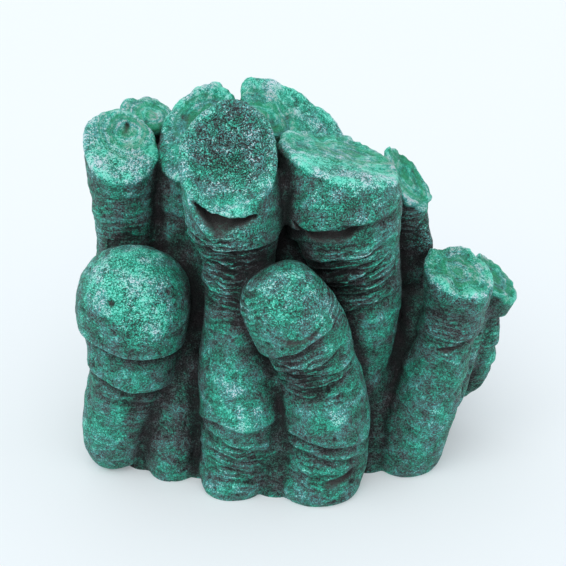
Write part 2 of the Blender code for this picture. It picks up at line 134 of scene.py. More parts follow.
# %% Fingers in the middle
FINGERS |= {
    "tall_front": {
        "stations": [
            (-11.9, -18.3, -2.0, 6.4), (-11.9, -18.1, 2.6, 7.0), (-10.8, -17.3, 9.0, 7.6),
            (-10.4, -17.0, 14.6, 8.1), (-10.7, -16.0, 20.6, 7.8), (-11.2, -15.0, 27.6, 6.9),
            (-11.3, -14.0, 34.5, 6.1), (-11.1, -13.0, 40.3, 6.3), (-10.9, -12.5, 45.7, 7.0),
            (-11.0, -12.0, 50.1, 7.9), (-11.5, -12.0, 56.3, 8.9), (-12.4, -12.0, 64.3, 8.9),
            (-12.7, -12.0, 82.0, 9.1),
        ],
        "rims": [
            (5.6, 0.3, 0.0), (8.0, 0.4, 0.1), (11.0, 0.5, 0.2), (14.8, 0.6, 0.12), (36.6, 0.3, 0.3),
            (43.6, 0.5, 0.4), (47.6, 0.5, 0.3), (51.0, 0.9, 0.1),
        ],
        "folds": [(39.5, 50.8, 1.5, 1.15, 0.35), (3.0, 15.0, 1.5, 0.35, 0.0)],
        "face": ((-11.6, -11.6, 66.5), (-0.08, -0.6, 0.79)),
        "strongest": -110.0, "dish": 2.3, "overgrown": 0.75, "edge": 1.2,
    },
    "middle_front": {
        "stations": [
            (3.6, -18.6, -2.0, 7.8), (3.9, -18.6, 1.5, 8.6), (4.9, -18.5, 5.5, 8.2), (5.4, -18.5, 10.0, 8.0),
            (5.4, -18.5, 15.6, 8.1), (4.6, -18.5, 21.0, 7.9), (3.4, -19.0, 27.0, 7.8),
            (2.2, -19.8, 31.2, 8.2), (0.9, -20.5, 35.0, 8.5), (-0.9, -21.1, 38.6, 8.4),
            (-2.6, -21.4, 41.4, 7.9),
        ],
        "rims": [
            (6.0, 0.5, -0.1), (9.8, 0.6, 0.15), (12.6, 0.9, 0.15), (26.9, 0.7, 0.1), (29.6, 0.6, 0.2),
            (32.2, 0.7, 0.1), (35.9, 1.3, 0.0),
        ],
        "folds": [(24.5, 34.5, 1.6, 0.95, 0.1), (4.0, 13.0, 2.2, 0.25, 0.0)],
        "strongest": -112.0, "dome": 7.3,
    },
    "broad_front": {
        "stations": [
            (10.7, -8.0, -2.0, 5.6), (10.6, -8.0, 7.8, 5.6), (11.2, -8.0, 16.8, 5.5), (12.1, -8.0, 25.6, 6.1),
            (12.3, -8.0, 34.3, 7.0), (11.3, -8.0, 40.7, 8.1), (9.7, -8.0, 46.0, 9.6), (8.5, -7.9, 51.0, 10.9),
            (8.0, -7.8, 54.5, 11.4), (7.4, -7.2, 58.0, 11.3), (6.9, -6.2, 61.2, 10.6), (6.4, -5.0, 64.4, 9.9),
            (6.2, -4.2, 70.0, 9.6),
        ],
        "rims": [
            (35.4, 0.4, -0.1), (38.7, 0.9, -0.1), (41.2, 0.6, -0.1), (43.2, 0.8, -0.1), (45.4, 0.7, 0.0),
            (47.8, 0.9, 0.1), (50.6, 0.5, 0.0), (53.8, 1.3, 0.0),
        ],
        "folds": [(36.0, 52.5, 1.7, 1.0, -0.1)],
        "face": ((8.9, -6.7, 62.8), (0.22, 0.08, 0.97)),
        "strongest": -122.0, "dish": 0.2, "edge": 0.7,
    },
}
print(len(FINGERS), "fingers so far")

# %% The three peaks
# The peaks were snapped off together, so one plane cuts all three.
PEAK_BREAK = {"face": ((-1.0, 12.0, 66.0), (0.42, -0.36, 0.83)), "dish": 0.3, "edge": 1.6}
FINGERS |= {
    "left_peak": {
        "stations": [
            (-5.3, 9.0, -2.0, 6.0), (-4.9, 9.2, 45.1, 6.0), (-4.4, 9.2, 60.0, 6.3), (-4.4, 9.0, 71.0, 6.3),
        ],
        "rims": [(40.0, 0.36, 0.1), (54.0, 0.3, 0.0)],
        **PEAK_BREAK,
    },
    "right_peak": {
        "stations": [
            (4.3, 7.0, -2.0, 5.6), (3.8, 7.4, 46.6, 5.9), (3.5, 7.6, 56.7, 6.0), (3.4, 7.6, 69.0, 6.0),
        ],
        "rims": [(36.0, 0.36, 0.1), (50.0, 0.3, 0.0)],
        **PEAK_BREAK,
    },
    "peak_saddle": {
        "stations": [(-0.8, 9.5, -2.0, 5.5), (-0.9, 9.8, 50.0, 5.8), (-0.6, 9.4, 71.0, 6.2)],
        "rims": [(44.0, 0.36, 0.1), (57.0, 0.24, 0.0)],
        **PEAK_BREAK,
    },
}
print(len(FINGERS), "fingers so far")

# %% Fingers at the right
FINGERS |= {
    "narrow_right": {
        "stations": [
            (20.5, 4.0, -2.0, 4.2), (20.8, 3.0, 21.4, 4.3), (21.1, 3.0, 36.8, 4.1), (21.2, 3.0, 42.0, 4.3),
            (20.9, 3.0, 46.5, 4.0), (20.8, 3.2, 50.7, 4.6), (20.6, 3.4, 64.0, 4.7),
        ],
        "rims": [(40.0, 0.6, 0.0), (44.4, 0.4, 0.1), (49.4, 1.0, 0.0)],
        "face": ((20.5, 3.2, 54.4), (0.66, -0.29, 0.69)),
        "dish": 0.6, "ragged": 0.5,
    },
    "hanging_drop": {
        "stations": [
            (24.0, 0.3, 40.7, 1.9), (23.8, 0.3, 42.5, 1.9), (23.3, 0.6, 45.0, 1.5), (22.4, 1.2, 48.5, 1.2),
        ],
        "rims": [],
        "dome": 1.0, "foot": 1.8,
    },
    "right_front": {
        "stations": [
            (20.9, -10.6, -2.0, 6.1), (21.4, -10.6, 2.6, 6.6), (23.1, -10.5, 9.4, 6.6),
            (25.2, -9.5, 17.7, 6.2), (27.5, -8.6, 24.8, 5.7), (29.2, -8.2, 32.2, 5.9),
            (29.8, -8.1, 37.5, 6.4), (30.0, -8.1, 52.0, 6.6),
        ],
        "rims": [(19.0, 0.3, -0.1), (27.7, 0.5, -0.1), (30.6, 0.2, 0.0), (33.4, 0.3, 0.0), (36.0, 0.2, 0.0)],
        "folds": [(14.0, 36.0, 2.6, 0.2, 0.0)],
        "face": ((29.6, -8.1, 40.9), (0.26, -0.19, 0.94)),
        "dish": 0.7, "ragged": 0.9,
    },
    "right_spur": {
        "stations": [
            (32.8, 3.4, 8.4, 2.2), (34.2, 3.4, 11.2, 3.0), (35.2, 3.2, 15.0, 3.5), (35.7, 2.9, 20.3, 3.6),
            (36.5, 2.9, 25.0, 3.3), (37.4, 2.8, 28.6, 4.0), (37.9, 2.7, 31.5, 4.2), (38.2, 2.6, 42.0, 4.2),
        ],
        "rims": [(14.0, 0.4, 0.0), (18.6, 0.6, 0.1), (25.5, 0.8, 0.0)],
        "face": ((38.0, 2.5, 33.4), (0.68, -0.17, 0.71)),
        "dish": 0.5, "ragged": 0.7, "foot": 2.4,
    },
    "spur_root": {
        "stations": [(28.6, -2.5, 10.0, 3.8), (30.8, -0.6, 20.0, 4.4), (33.0, 0.4, 30.5, 4.2)],
        "rims": [],
        "dome": 3.5, "foot": 2.6,
    },
}
print(len(FINGERS), "fingers so far")

# %% Fingers at the back
FINGERS |= {
    "back_left": {
        "stations": [(-19.6, 14.0, -2.0, 6.6), (-19.0, 15.0, 30.0, 6.4), (-18.6, 15.6, 52.0, 6.8)],
        "rims": [(22.0, 0.36, 0.1), (33.0, 0.3, 0.0), (41.0, 0.54, -0.1), (50.0, 0.42, 0.0)],
        "dome": 6.4,
    },
    "back_middle": {
        "stations": [(-10.8, 16.2, -2.0, 6.0), (-11.4, 16.8, 24.0, 6.4), (-11.6, 17.0, 43.0, 6.9)],
        "rims": [(8.0, 0.24, 0.0), (16.0, 0.36, 0.1), (26.0, 0.3, 0.0), (34.0, 0.66, 0.0), (37.0, 0.36, 0.1)],
        "dome": 6.8,
    },
    "back_slim": {
        "stations": [(-1.4, 17.4, -2.0, 5.2), (-1.0, 17.8, 20.0, 5.0), (-0.6, 17.6, 33.0, 5.4)],
        "rims": [(12.0, 0.36, 0.1), (20.0, 0.3, -0.1), (27.0, 0.54, 0.0)],
        "dome": 5.2,
    },
    "back_right": {
        "stations": [(7.6, 14.8, -2.0, 6.2), (7.9, 15.6, 22.0, 6.0), (8.2, 15.8, 39.0, 6.5)],
        "rims": [(10.0, 0.3, 0.0), (18.0, 0.36, 0.1), (31.0, 0.6, 0.0), (34.0, 0.36, 0.1)],
        "dome": 6.2,
    },
    "back_far_right": {
        "stations": [(16.4, 9.6, -2.0, 5.6), (16.4, 10.4, 20.0, 5.3), (16.2, 10.6, 33.0, 5.6)],
        "rims": [(14.0, 0.36, 0.0), (21.0, 0.24, 0.1), (26.0, 0.54, 0.0)],
        "dome": 5.4,
    },
    "back_stub": {
        "stations": [(25.2, 5.4, -2.0, 4.9), (25.8, 5.0, 12.0, 5.0), (26.4, 4.4, 21.0, 4.8)],
        "rims": [(9.0, 0.36, 0.0), (15.0, 0.3, 0.1)],
        "dome": 4.4,
    },
}
print(len(FINGERS), "fingers so far")

# %% Fillings and ropes
# Stone that fills the middle of the cluster, and the webs in the creases between the front fingers.
FILLING = {
    "fill_left": [(-27.5, -1.0, -2.0, 8.0), (-26.0, 5.0, 46.0, 6.5)],
    "fill_middle_left": [(-14.0, -4.0, -2.0, 11.5), (-13.5, 2.0, 52.0, 9.0)],
    "fill_middle": [(-1.0, -6.0, -2.0, 12.0), (-1.5, 1.0, 50.0, 9.5)],
    "fill_right": [(11.0, -3.0, -2.0, 11.0), (11.0, 0.0, 44.0, 8.0)],
    "fill_far_right": [(20.5, -4.0, -2.0, 8.0), (24.0, -2.0, 32.0, 5.0)],
    "fill_back_left": [(-24.0, 8.0, -2.0, 7.0), (-23.5, 9.0, 47.0, 5.5)],
    "fill_back_middle": [(-7.0, 8.5, -2.0, 8.5), (-6.5, 9.5, 45.0, 6.5)],
    "fill_back_right": [(9.0, 6.5, -2.0, 8.5), (9.5, 7.5, 38.0, 6.0)],
    "behind_tall_head": [(-12.0, -6.0, 40.0, 5.0), (-12.0, -5.4, 66.4, 5.2)],
    "web_knob_slim": [(-28.6, -9.2, -2.0, 4.8), (-27.6, -7.0, 22.0, 4.0)],
    "web_slim_tall": [(-17.8, -11.8, -2.0, 5.2), (-17.0, -9.0, 24.0, 4.2)],
    "web_tall_middle": [(-3.7, -17.2, -2.0, 5.8), (-3.6, -14.8, 24.0, 4.6), (-4.6, -11.5, 36.0, 3.8)],
    "web_middle_right": [(13.2, -10.0, -2.0, 5.0), (14.2, -7.8, 20.0, 4.0)],
}
# Thin ropes of stone that run over a finger: one hangs from the left of the tall head to its throat.
ROPES = {
    "throat_rope": [
        (-19.4, -16.0, 60.6, 0.7), (-18.2, -18.2, 58.6, 1.0), (-17.0, -19.3, 56.7, 1.1),
        (-15.8, -19.8, 55.1, 1.1), (-14.5, -19.7, 53.5, 1.0), (-12.9, -19.4, 51.9, 0.7),
    ],
}
for name, stations in {**FILLING, **ROPES}.items():
    FINGERS[name] = {"stations": stations, "rims": [], "dome": 0.5, "plain": True}
print(len(FINGERS), "fingers, fillings and ropes")

# %% [markdown]
# ## Noise that knows no seams
#
# Stone is never even. Every wave of a rim and every lump below comes from one smooth noise, worked out from
# the place in space, so it runs over a finger without a seam and gives the same stone each time.

# %% Smooth noise in space
FAR_FROM_ZERO = 100.0


def soft_step(low, high, value):
    """0 below low, 1 above high, and a smooth slope between."""
    part = np.clip((value - low) / (high - low), 0.0, 1.0)
    return part * part * (3.0 - 2.0 * part)


def corner_value(cell, seed):
    """A fixed random number from -1 to 1 for each whole-number cell corner."""
    mixed = cell[..., 0] * 73856093 ^ cell[..., 1] * 19349663 ^ cell[..., 2] * 83492791 ^ seed * 2654435761
    mixed = (mixed ^ (mixed >> 13)) * 1274126177 & 0x7FFFFFFF
    mixed = (mixed ^ (mixed >> 15)) * 2246822519 & 0x7FFFFFFF
    return (mixed >> 7 & 0xFFFF) / 32767.5 - 1.0


def noise(points, size, seed=0):
    """Smooth noise from -1 to 1 at each point, whose bumps are about this size."""
    on_grid = points / size + FAR_FROM_ZERO
    cell = np.floor(on_grid).astype(np.int64)
    part = on_grid - cell
    part = part * part * (3.0 - 2.0 * part)
    total = np.zeros(points.shape[:-1])
    for corner in range(8):
        step = np.array([corner & 1, corner >> 1 & 1, corner >> 2 & 1])
        weight = np.prod(np.where(step == 1, part, 1.0 - part), axis=-1)
        total += weight * corner_value(cell + step, seed)
    return total


print("noise at three places:", noise(np.eye(3) * 5.0, 2.0).round(3))

# %% [markdown]
# ## One finger as a grid of points
#
# A curve with a bevel would give the tube, but not a rim that droops over the shaft below it. So each finger
# is a grid: rows along the centreline, columns around it. The radius comes from the stations. Under a rim the
# radius drops at once and comes back slowly, and just above it the stone swells and hangs down a little. Packed
# folds are made in the same way, only thinner, and faint rims fill the plain stretches between.

# %% Centreline of a finger
ROW_SPACING = 0.42
COLUMN_SPACING = 0.42


def unit(vectors):
    return vectors / np.linalg.norm(vectors, axis=-1, keepdims=True)


def between(a, b, c, d, t):
    """A Catmull-Rom curve from b to c, at t from 0 to 1."""
    bend = (2.0 * a - 5.0 * b + 4.0 * c - d) * t * t + (3.0 * (b - c) + d - a) * t * t * t
    return 0.5 * (2.0 * b + (c - a) * t + bend)


def centreline(stations):
    """Smooth stations close together, with the length along the line and its direction."""
    given = np.array(stations, float)
    padded = np.vstack([given[:1], given, given[-1:]])
    pieces = []
    for index in range(1, len(padded) - 2):
        length = np.linalg.norm(padded[index + 1, :3] - padded[index, :3])
        t = np.arange(0.0, 1.0, ROW_SPACING / length)[:, None]
        pieces.append(between(*padded[index - 1 : index + 3], t))
    smooth = np.vstack(pieces + [given[-1:]])
    centre = smooth[:, :3]
    steps = np.linalg.norm(np.diff(centre, axis=0), axis=1)
    along = np.concatenate([[0.0], np.cumsum(steps)])
    direction = unit(np.gradient(centre, along, axis=0))
    return {"along": along, "centre": centre, "radius": smooth[:, 3], "direction": direction}


def at_length(line, key, along):
    """A value of the centreline at each length along it."""
    values = line[key]
    if values.ndim == 1:
        return np.interp(along, line["along"], values)
    return np.stack([np.interp(along, line["along"], values[:, axis]) for axis in range(3)], axis=-1)


print("the knob's centreline is", centreline(FINGERS["knob"]["stations"])["along"][-1].round(1), "mm long")

# %% The list of rims
# RIM_STRENGTH deepens all the rims of the plan. A recovery is the height over which the shaft below a rim comes
# back to its own radius, for a fold as a part of the folds' spacing. The pairs are lowest and highest draws.
RIM_STRENGTH = 1.5
RIM_RECOVERY = 2.4
FOLD_RECOVERY = 0.6
FOLD_DEPTHS = (0.5, 1.2)
FOLD_SPACINGS = (0.7, 1.4)
FOLD_SLOPES = (-0.1, 0.15)
LOWEST_FAINT_RIM = 1.5
FAINT_RIM_GAP = (1.4, 3.4)
FAINT_RIM_DEPTH = (0.04, 0.14)
FAINT_RIM_SLOPE = (-0.15, 0.25)
FAINT_RIM_RECOVERY = 0.8


def all_rims(name, shape):
    """The finger's rims, packed folds and faint growth rims: (height, depth, slope, recovery, is a fold)."""
    rims = [(height, depth * RIM_STRENGTH, slope, RIM_RECOVERY, 0.0) for height, depth, slope in shape["rims"]]
    if shape.get("plain"):
        return rims
    dice = np.random.default_rng(sum(ord(letter) for letter in name))
    for low, high, spacing, depth, slope in shape.get("folds", []):
        height = low
        while height < high:
            fold_depth = depth * dice.uniform(*FOLD_DEPTHS)
            fold_slope = slope + dice.uniform(*FOLD_SLOPES)
            rims.append((height, fold_depth, fold_slope, spacing * FOLD_RECOVERY, 1.0))
            height += spacing * dice.uniform(*FOLD_SPACINGS)
    height = LOWEST_FAINT_RIM
    highest = shape["stations"][-1][2]
    while height < highest:
        height += dice.uniform(*FAINT_RIM_GAP)
        depth, slope = dice.uniform(*FAINT_RIM_DEPTH), dice.uniform(*FAINT_RIM_SLOPE)
        rims.append((height, depth, slope, FAINT_RIM_RECOVERY, 0.0))
    return rims


print("rims and folds on the tall finger:", len(all_rims("tall_front", FINGERS["tall_front"])))

# %% The side of a finger
# Just above a rim the lip swells outwards and droops, both as parts of the rim's depth, over LIP_LENGTH of its
# recovery, and turns in between the two parts of LIP_TURN. A wave lifts and lowers the rim round the finger.
# Without a strongest side, the strength is even but for a little noise.
NOISE_CIRCLE = 6.0
LIP_SWELL = 0.5
LIP_DROOP = 0.45
LIP_LENGTH = 0.7
LIP_TURN = (-0.4, 0.12)
BROAD_WAVE, BROAD_WAVE_SIZE = 1.1, 5.0
FINE_WAVE, FINE_WAVE_SIZE = 0.25, 1.9
DEPTH_CHANGE, FOLD_DEPTH_CHANGE, DEPTH_CHANGE_SIZE = 0.3, 0.4, 4.0
DEPTH_LIMITS = (0.2, 1.5)
FOLDS_TO_THE_LEFT = 0.35
EVEN_STRENGTH, EVEN_CHANGE, EVEN_CHANGE_SIZE = 0.7, 0.4, 7.0
SIDED_STRENGTH, SIDED_SWING, WEAKEST_SIDE = 0.36, 0.68, 0.1


def noise_circle(around):
    """Points on a circle through the noise, so that what it makes closes on itself round a finger."""
    return np.stack([np.cos(around), np.sin(around), np.zeros_like(around)], axis=-1) * NOISE_CIRCLE


def strength_by_side(around, circle, strongest):
    """How strong the rims are on each side of the finger."""
    if strongest is None:
        return EVEN_STRENGTH + EVEN_CHANGE * noise(circle, EVEN_CHANGE_SIZE, 200)
    towards = np.cos(around - math.radians(strongest))
    return np.clip(SIDED_STRENGTH + SIDED_SWING * towards, WEAKEST_SIDE, 1.0)


def finger_surface(line, rims, along, around, strongest=None, inset=0.0):
    """Points of the finger's side: along holds a length for each row and each angle around."""
    centre = at_length(line, "centre", along)
    direction = unit(at_length(line, "direction", along))
    radius = at_length(line, "radius", along)
    across = unit(np.array([1.0, 0.0, 0.0]) - direction[..., :1] * direction)
    away = np.cross(direction, across)
    outward = np.cos(around)[..., None] * across + np.sin(around)[..., None] * away
    narrowing = inset + np.zeros_like(radius)
    droop = np.zeros_like(radius)
    circle = noise_circle(around)
    by_side = strength_by_side(around, circle, strongest)
    for index, (height, depth, slope, recovery, is_fold) in enumerate(rims):
        middle = np.interp(height, line["centre"][:, 2], line["along"]) + LIP_DROOP * depth
        wave = noise(circle, BROAD_WAVE_SIZE, index) * BROAD_WAVE
        wave = wave + noise(circle, FINE_WAVE_SIZE, index + 50) * FINE_WAVE
        change = (DEPTH_CHANGE + FOLD_DEPTH_CHANGE * is_fold) * noise(circle, DEPTH_CHANGE_SIZE, index + 90)
        strength = depth * by_side * np.clip(1.0 + change, *DEPTH_LIMITS)
        strength = strength * (1.0 - FOLDS_TO_THE_LEFT * is_fold * np.cos(around))
        below = middle - slope * radius * np.cos(around) + wave - along
        under = strength * np.exp(-np.clip(below, 0.0, None) / recovery)
        lip = strength * np.exp(np.clip(below, None, 0.0) / (LIP_LENGTH * recovery))
        turned_in = soft_step(LIP_TURN[0] * recovery, LIP_TURN[1] * recovery, below)
        narrowing += turned_in * under - (1.0 - turned_in) * LIP_SWELL * lip
        droop += (1.0 - turned_in) * LIP_DROOP * lip
    point = centre + outward * (radius - narrowing)[..., None]
    return point - direction * droop[..., None]


# %% Where a broken face cuts the side
RAGGED = 0.35
RAGGED_SIZE, FINE_RAGGED_SIZE = 2.8, 1.1
EDGE_ROUNDING = 0.9


def side_end(line, rims, face, around, strongest):
    """How far along the line the plane of a broken face crosses the side, at each angle."""
    plane_point, plane_direction = np.array(face[0]), unit(np.array(face[1]))
    along_grid = np.repeat(line["along"][:, None], len(around), axis=1)
    side = finger_surface(line, rims, along_grid, around, strongest)
    beyond = (side - plane_point) @ plane_direction > 0.0
    beyond[-1] = True
    return line["along"][np.argmax(beyond, axis=0)]


def uneven_end(around, ragged):
    """How far the edge of a break runs up or down at each angle."""
    circle = noise_circle(around)
    return ragged * (noise(circle, RAGGED_SIZE, 77) + 0.6 * noise(circle, FINE_RAGGED_SIZE, 78))


# %% From foot to top
FEWEST_COLUMNS = 24
FEWEST_END_ROWS = 6


def finger_grid(name, shape):
    """All rows of one finger, from the middle of its foot to the middle of its top."""
    line = centreline(shape["stations"])
    rims = all_rims(name, shape)
    columns = max(FEWEST_COLUMNS, int(2.0 * math.pi * line["radius"].max() / COLUMN_SPACING))
    around = np.linspace(0.0, 2.0 * math.pi, columns, endpoint=False)
    whole = line["along"][-1]
    strongest = shape.get("strongest")
    part = np.linspace(0.0, 1.0, int(whole / ROW_SPACING))[:, None]
    inset = 0.0
    ends = np.full(columns, whole)
    if "face" in shape:
        ends = side_end(line, rims, shape["face"], around, strongest)
        ends = ends + uneven_end(around, shape.get("ragged", RAGGED))
        edge = shape.get("edge", EDGE_ROUNDING)
        near_edge = np.clip(1.0 - ends * (1.0 - part) / edge, 0.0, 1.0)
        inset = edge * (1.0 - np.sqrt(1.0 - near_edge**2))
    side = finger_surface(line, rims, part * ends, around, strongest, inset)

    foot_rows = max(FEWEST_END_ROWS, int(line["radius"][0] / ROW_SPACING))
    widths = np.linspace(0.0, 1.0, foot_rows, endpoint=False)[:, None, None]
    first = line["centre"][0]
    foot_drop = shape.get("foot", 0.0) * np.sqrt(1.0 - widths**2)
    foot = first + (side[0] - first) * widths - line["direction"][0] * foot_drop
    top_rows = max(FEWEST_END_ROWS, int(line["radius"][-1] / ROW_SPACING))
    widths = np.linspace(1.0, 0.0, top_rows)[1:, None, None]
    if "face" in shape:
        middle = side[-1].mean(axis=0)
        sink = shape["dish"] * (1.0 - widths**2) * unit(np.array(shape["face"][1]))
        top = middle + (side[-1] - middle) * widths - sink
    else:
        middle = line["centre"][-1]
        rise = shape["dome"] * np.sqrt(1.0 - widths**2)
        top = middle + (side[-1] - middle) * widths + line["direction"][-1] * rise
    return np.concatenate([foot, side, top])


# %% All the fingers, with rounded feet
FOOT_ROUNDING = 0.12
FOOT_HEIGHT = 1.3


def rounded_feet(points):
    """Draw the lowest points of a finger in towards its middle, so that the foot is rounded."""
    middle = points.mean(axis=1, keepdims=True)
    narrowing = FOOT_ROUNDING * np.exp(-np.clip(points[..., 2:], 0.0, None) / FOOT_HEIGHT)
    inward = (points - middle) * narrowing
    inward[..., 2] = 0.0
    return points - inward


grids = {}
for name, shape in FINGERS.items():
    grid = finger_grid(name, shape)
    grids[name] = rounded_feet(grid) if not shape.get("plain") else grid
print("points in all the fingers:", sum(grid.shape[0] * grid.shape[1] for grid in grids.values()))

# %% [markdown]
# ## One skin
#
# The fingers overlap, as the real ones grew into each other. A voxel remesh takes only the outer skin of all
# of them together. It could be done with booleans, but twenty booleans of dense tubes would be slow and easily
# break. The voxel is a good deal smaller than a fold, so the folds stay crisp.

# %% From grids to one mesh
VOXEL = 0.36


def new_mesh_object(name, points, faces):
    """A mesh object from arrays of points and of faces with equally many corners."""
    mesh = bpy.data.meshes.new(name)
    mesh.vertices.add(len(points))
    mesh.vertices.foreach_set("co", points.astype(np.float32).ravel())
    mesh.loops.add(faces.size)
    mesh.loops.foreach_set("vertex_index", faces.astype(np.int32).ravel())
    mesh.polygons.add(len(faces))
    mesh.polygons.foreach_set("loop_start", np.arange(0, faces.size, faces.shape[1], dtype=np.int32))
    mesh.update(calc_edges=True)
    mesh.validate()
    made = bpy.data.objects.new(name, mesh)
    bpy.context.scene.collection.objects.link(made)
    return made


# %% The overlapping fingers as one object
def grid_faces(rows, columns, first):
    """The four-cornered faces of a grid that closes on itself sideways."""
    row, column = np.meshgrid(np.arange(rows - 1), np.arange(columns), indexing="ij")
    following = (column + 1) % columns
    corners = [row * columns + column, row * columns + following]
    corners += [(row + 1) * columns + following, (row + 1) * columns + column]
    return np.stack(corners, axis=-1).reshape(-1, 4) + first


point_lists = []
face_lists = []
used = 0
for grid in grids.values():
    rows, columns = grid.shape[:2]
    face_lists.append(grid_faces(rows, columns, used))
    point_lists.append((grid.reshape(-1, 3) - PLAN_MIDDLE) * MM)
    used += rows * columns
stone = new_mesh_object("malachite_stone", np.vstack(point_lists), np.vstack(face_lists))
print("overlapping fingers:", len(stone.data.polygons), "faces")

# %% Fuse them
def apply_modifiers(target):
    """Bake the object's modifiers into its mesh."""
    evaluated = target.evaluated_get(bpy.context.evaluated_depsgraph_get())
    old_mesh = target.data
    target.data = bpy.data.meshes.new_from_object(evaluated)
    target.modifiers.clear()
    bpy.data.meshes.remove(old_mesh)


fuse = stone.modifiers.new("fuse", "REMESH")
fuse.mode = "VOXEL"
fuse.voxel_size = VOXEL * MM
apply_modifiers(stone)
print("fused skin:", len(stone.data.vertices), "points")

# %% [markdown]
# ## Relief finer than the solid model
#
# On the real stone the skin between the rims is lumpy, wrinkled sideways and pitted, and the breaks are rough.
# These are small moves of each point along its own normal, by the same noise at several sizes. A displacement
# texture could do it, but the code knows which finger each point lies on, and so where the breaks are. Deep
# hollows, as under the lip of the tall head, are pushed in towards the back instead.

# %% Reading and moving the points
def read_points(target):
    """Places in millimetres on the plan, and unit normals."""
    count = len(target.data.vertices)
    places = np.empty(count * 3, np.float32)
    normals = np.empty(count * 3, np.float32)
    target.data.vertices.foreach_get("co", places)
    target.data.vertices.foreach_get("normal", normals)
    return places.reshape(-1, 3).astype(float) / MM + PLAN_MIDDLE, normals.reshape(-1, 3).astype(float)


def write_points(target, places):
    """Move the points to these places in millimetres on the plan."""
    target.data.vertices.foreach_set("co", ((places - PLAN_MIDDLE) * MM).astype(np.float32).ravel())
    target.data.update()


# %% Which finger a point belongs to
STATION_STEP = 6
BLOCK = 40000


def nearest_fingers(places):
    """For each place: the finger it lies on, how far along it, and how close the next finger is."""
    best = np.full(len(places), np.inf)
    second = np.full(len(places), np.inf)
    owner = np.zeros(len(places), int)
    along = np.zeros(len(places))
    off_axis = np.zeros(len(places))
    for index, (name, shape) in enumerate(FINGERS.items()):
        if name in ("behind_tall_head", *ROPES) or name.startswith("fill_"):
            continue
        line = centreline(shape["stations"])
        stations = slice(None, None, STATION_STEP)
        centre, radius = line["centre"][stations], line["radius"][stations]
        direction, length = line["direction"][stations], line["along"][stations]
        for start in range(0, len(places), BLOCK):
            block = slice(start, start + BLOCK)
            apart = places[block, None, :] - centre[None]
            gap = np.linalg.norm(apart, axis=2) - radius[None]
            nearest = np.argmin(gap, axis=1)
            rows = np.arange(len(nearest))
            distance = gap[rows, nearest]
            to_point = apart[rows, nearest]
            forward = np.einsum("ij,ij->i", to_point, direction[nearest])
            closer = distance < best[block]
            second[block] = np.where(closer, best[block], np.minimum(second[block], distance))
            best[block] = np.where(closer, distance, best[block])
            owner[block] = np.where(closer, index, owner[block])
            along[block] = np.where(closer, length[nearest] + forward, along[block])
            sideways = to_point - forward[:, None] * direction[nearest]
            off_axis[block] = np.where(closer, np.linalg.norm(sideways, axis=1), off_axis[block])
    return owner, along, off_axis, second - best


# %% Which points lie on a broken face
FACE_EDGE = (-1.4, -0.5)


def broken_face_mask(places, owner, off_axis):
    """1 on a broken face, 0 on the sides of the fingers."""
    mask = np.zeros(len(places))
    for index, shape in enumerate(FINGERS.values()):
        if "face" in shape:
            above = (places - np.array(shape["face"][0])) @ unit(np.array(shape["face"][1]))
            sunk = shape["dish"] * np.clip(1.0 - (off_axis / shape["stations"][-1][3]) ** 2, 0.0, 1.0)
            mask = np.maximum(mask, soft_step(*FACE_EDGE, above + sunk) * (owner == index))
    return mask


places, normals = read_points(stone)
owner, along, off_axis, crease_gap = nearest_fingers(places)
face_mask = broken_face_mask(places, owner, off_axis)
print("points on broken faces:", int((face_mask > 0.5).sum()))

# %% Soften the creases
SOFT_CREASE_WIDTHS = (1.9, 0.6)
SOFTENING = 0.6
SOFTENING_ROUNDS = 35
FLAT_FOOT_HEIGHT = 0.5


def edge_array(target):
    edges = np.empty(len(target.data.edges) * 2, np.int32)
    target.data.edges.foreach_get("vertices", edges)
    return edges.reshape(-1, 2)


def neighbour_mean(values, edges, counts):
    """The mean of each point's neighbours along the edges."""
    total = np.zeros_like(values)
    for axis in range(values.shape[1]):
        total[:, axis] = np.bincount(edges[:, 0], values[edges[:, 1], axis], len(values))
        total[:, axis] += np.bincount(edges[:, 1], values[edges[:, 0], axis], len(values))
    return total / counts[:, None]


def neighbour_counts(places, edges):
    return np.maximum(np.bincount(edges.ravel(), minlength=len(places)).astype(float), 1.0)


edges = edge_array(stone)
counts = neighbour_counts(places, edges)
softness = SOFTENING * soft_step(*SOFT_CREASE_WIDTHS, crease_gap) * (1.0 - face_mask)
softness[places[:, 2] < FLAT_FOOT_HEIGHT] = 0.0
for _ in range(SOFTENING_ROUNDS):
    places += softness[:, None] * (neighbour_mean(places, edges, counts) - places)
write_points(stone, places)
places, normals = read_points(stone)
print("points in creases:", int((softness > 0.3).sum()))

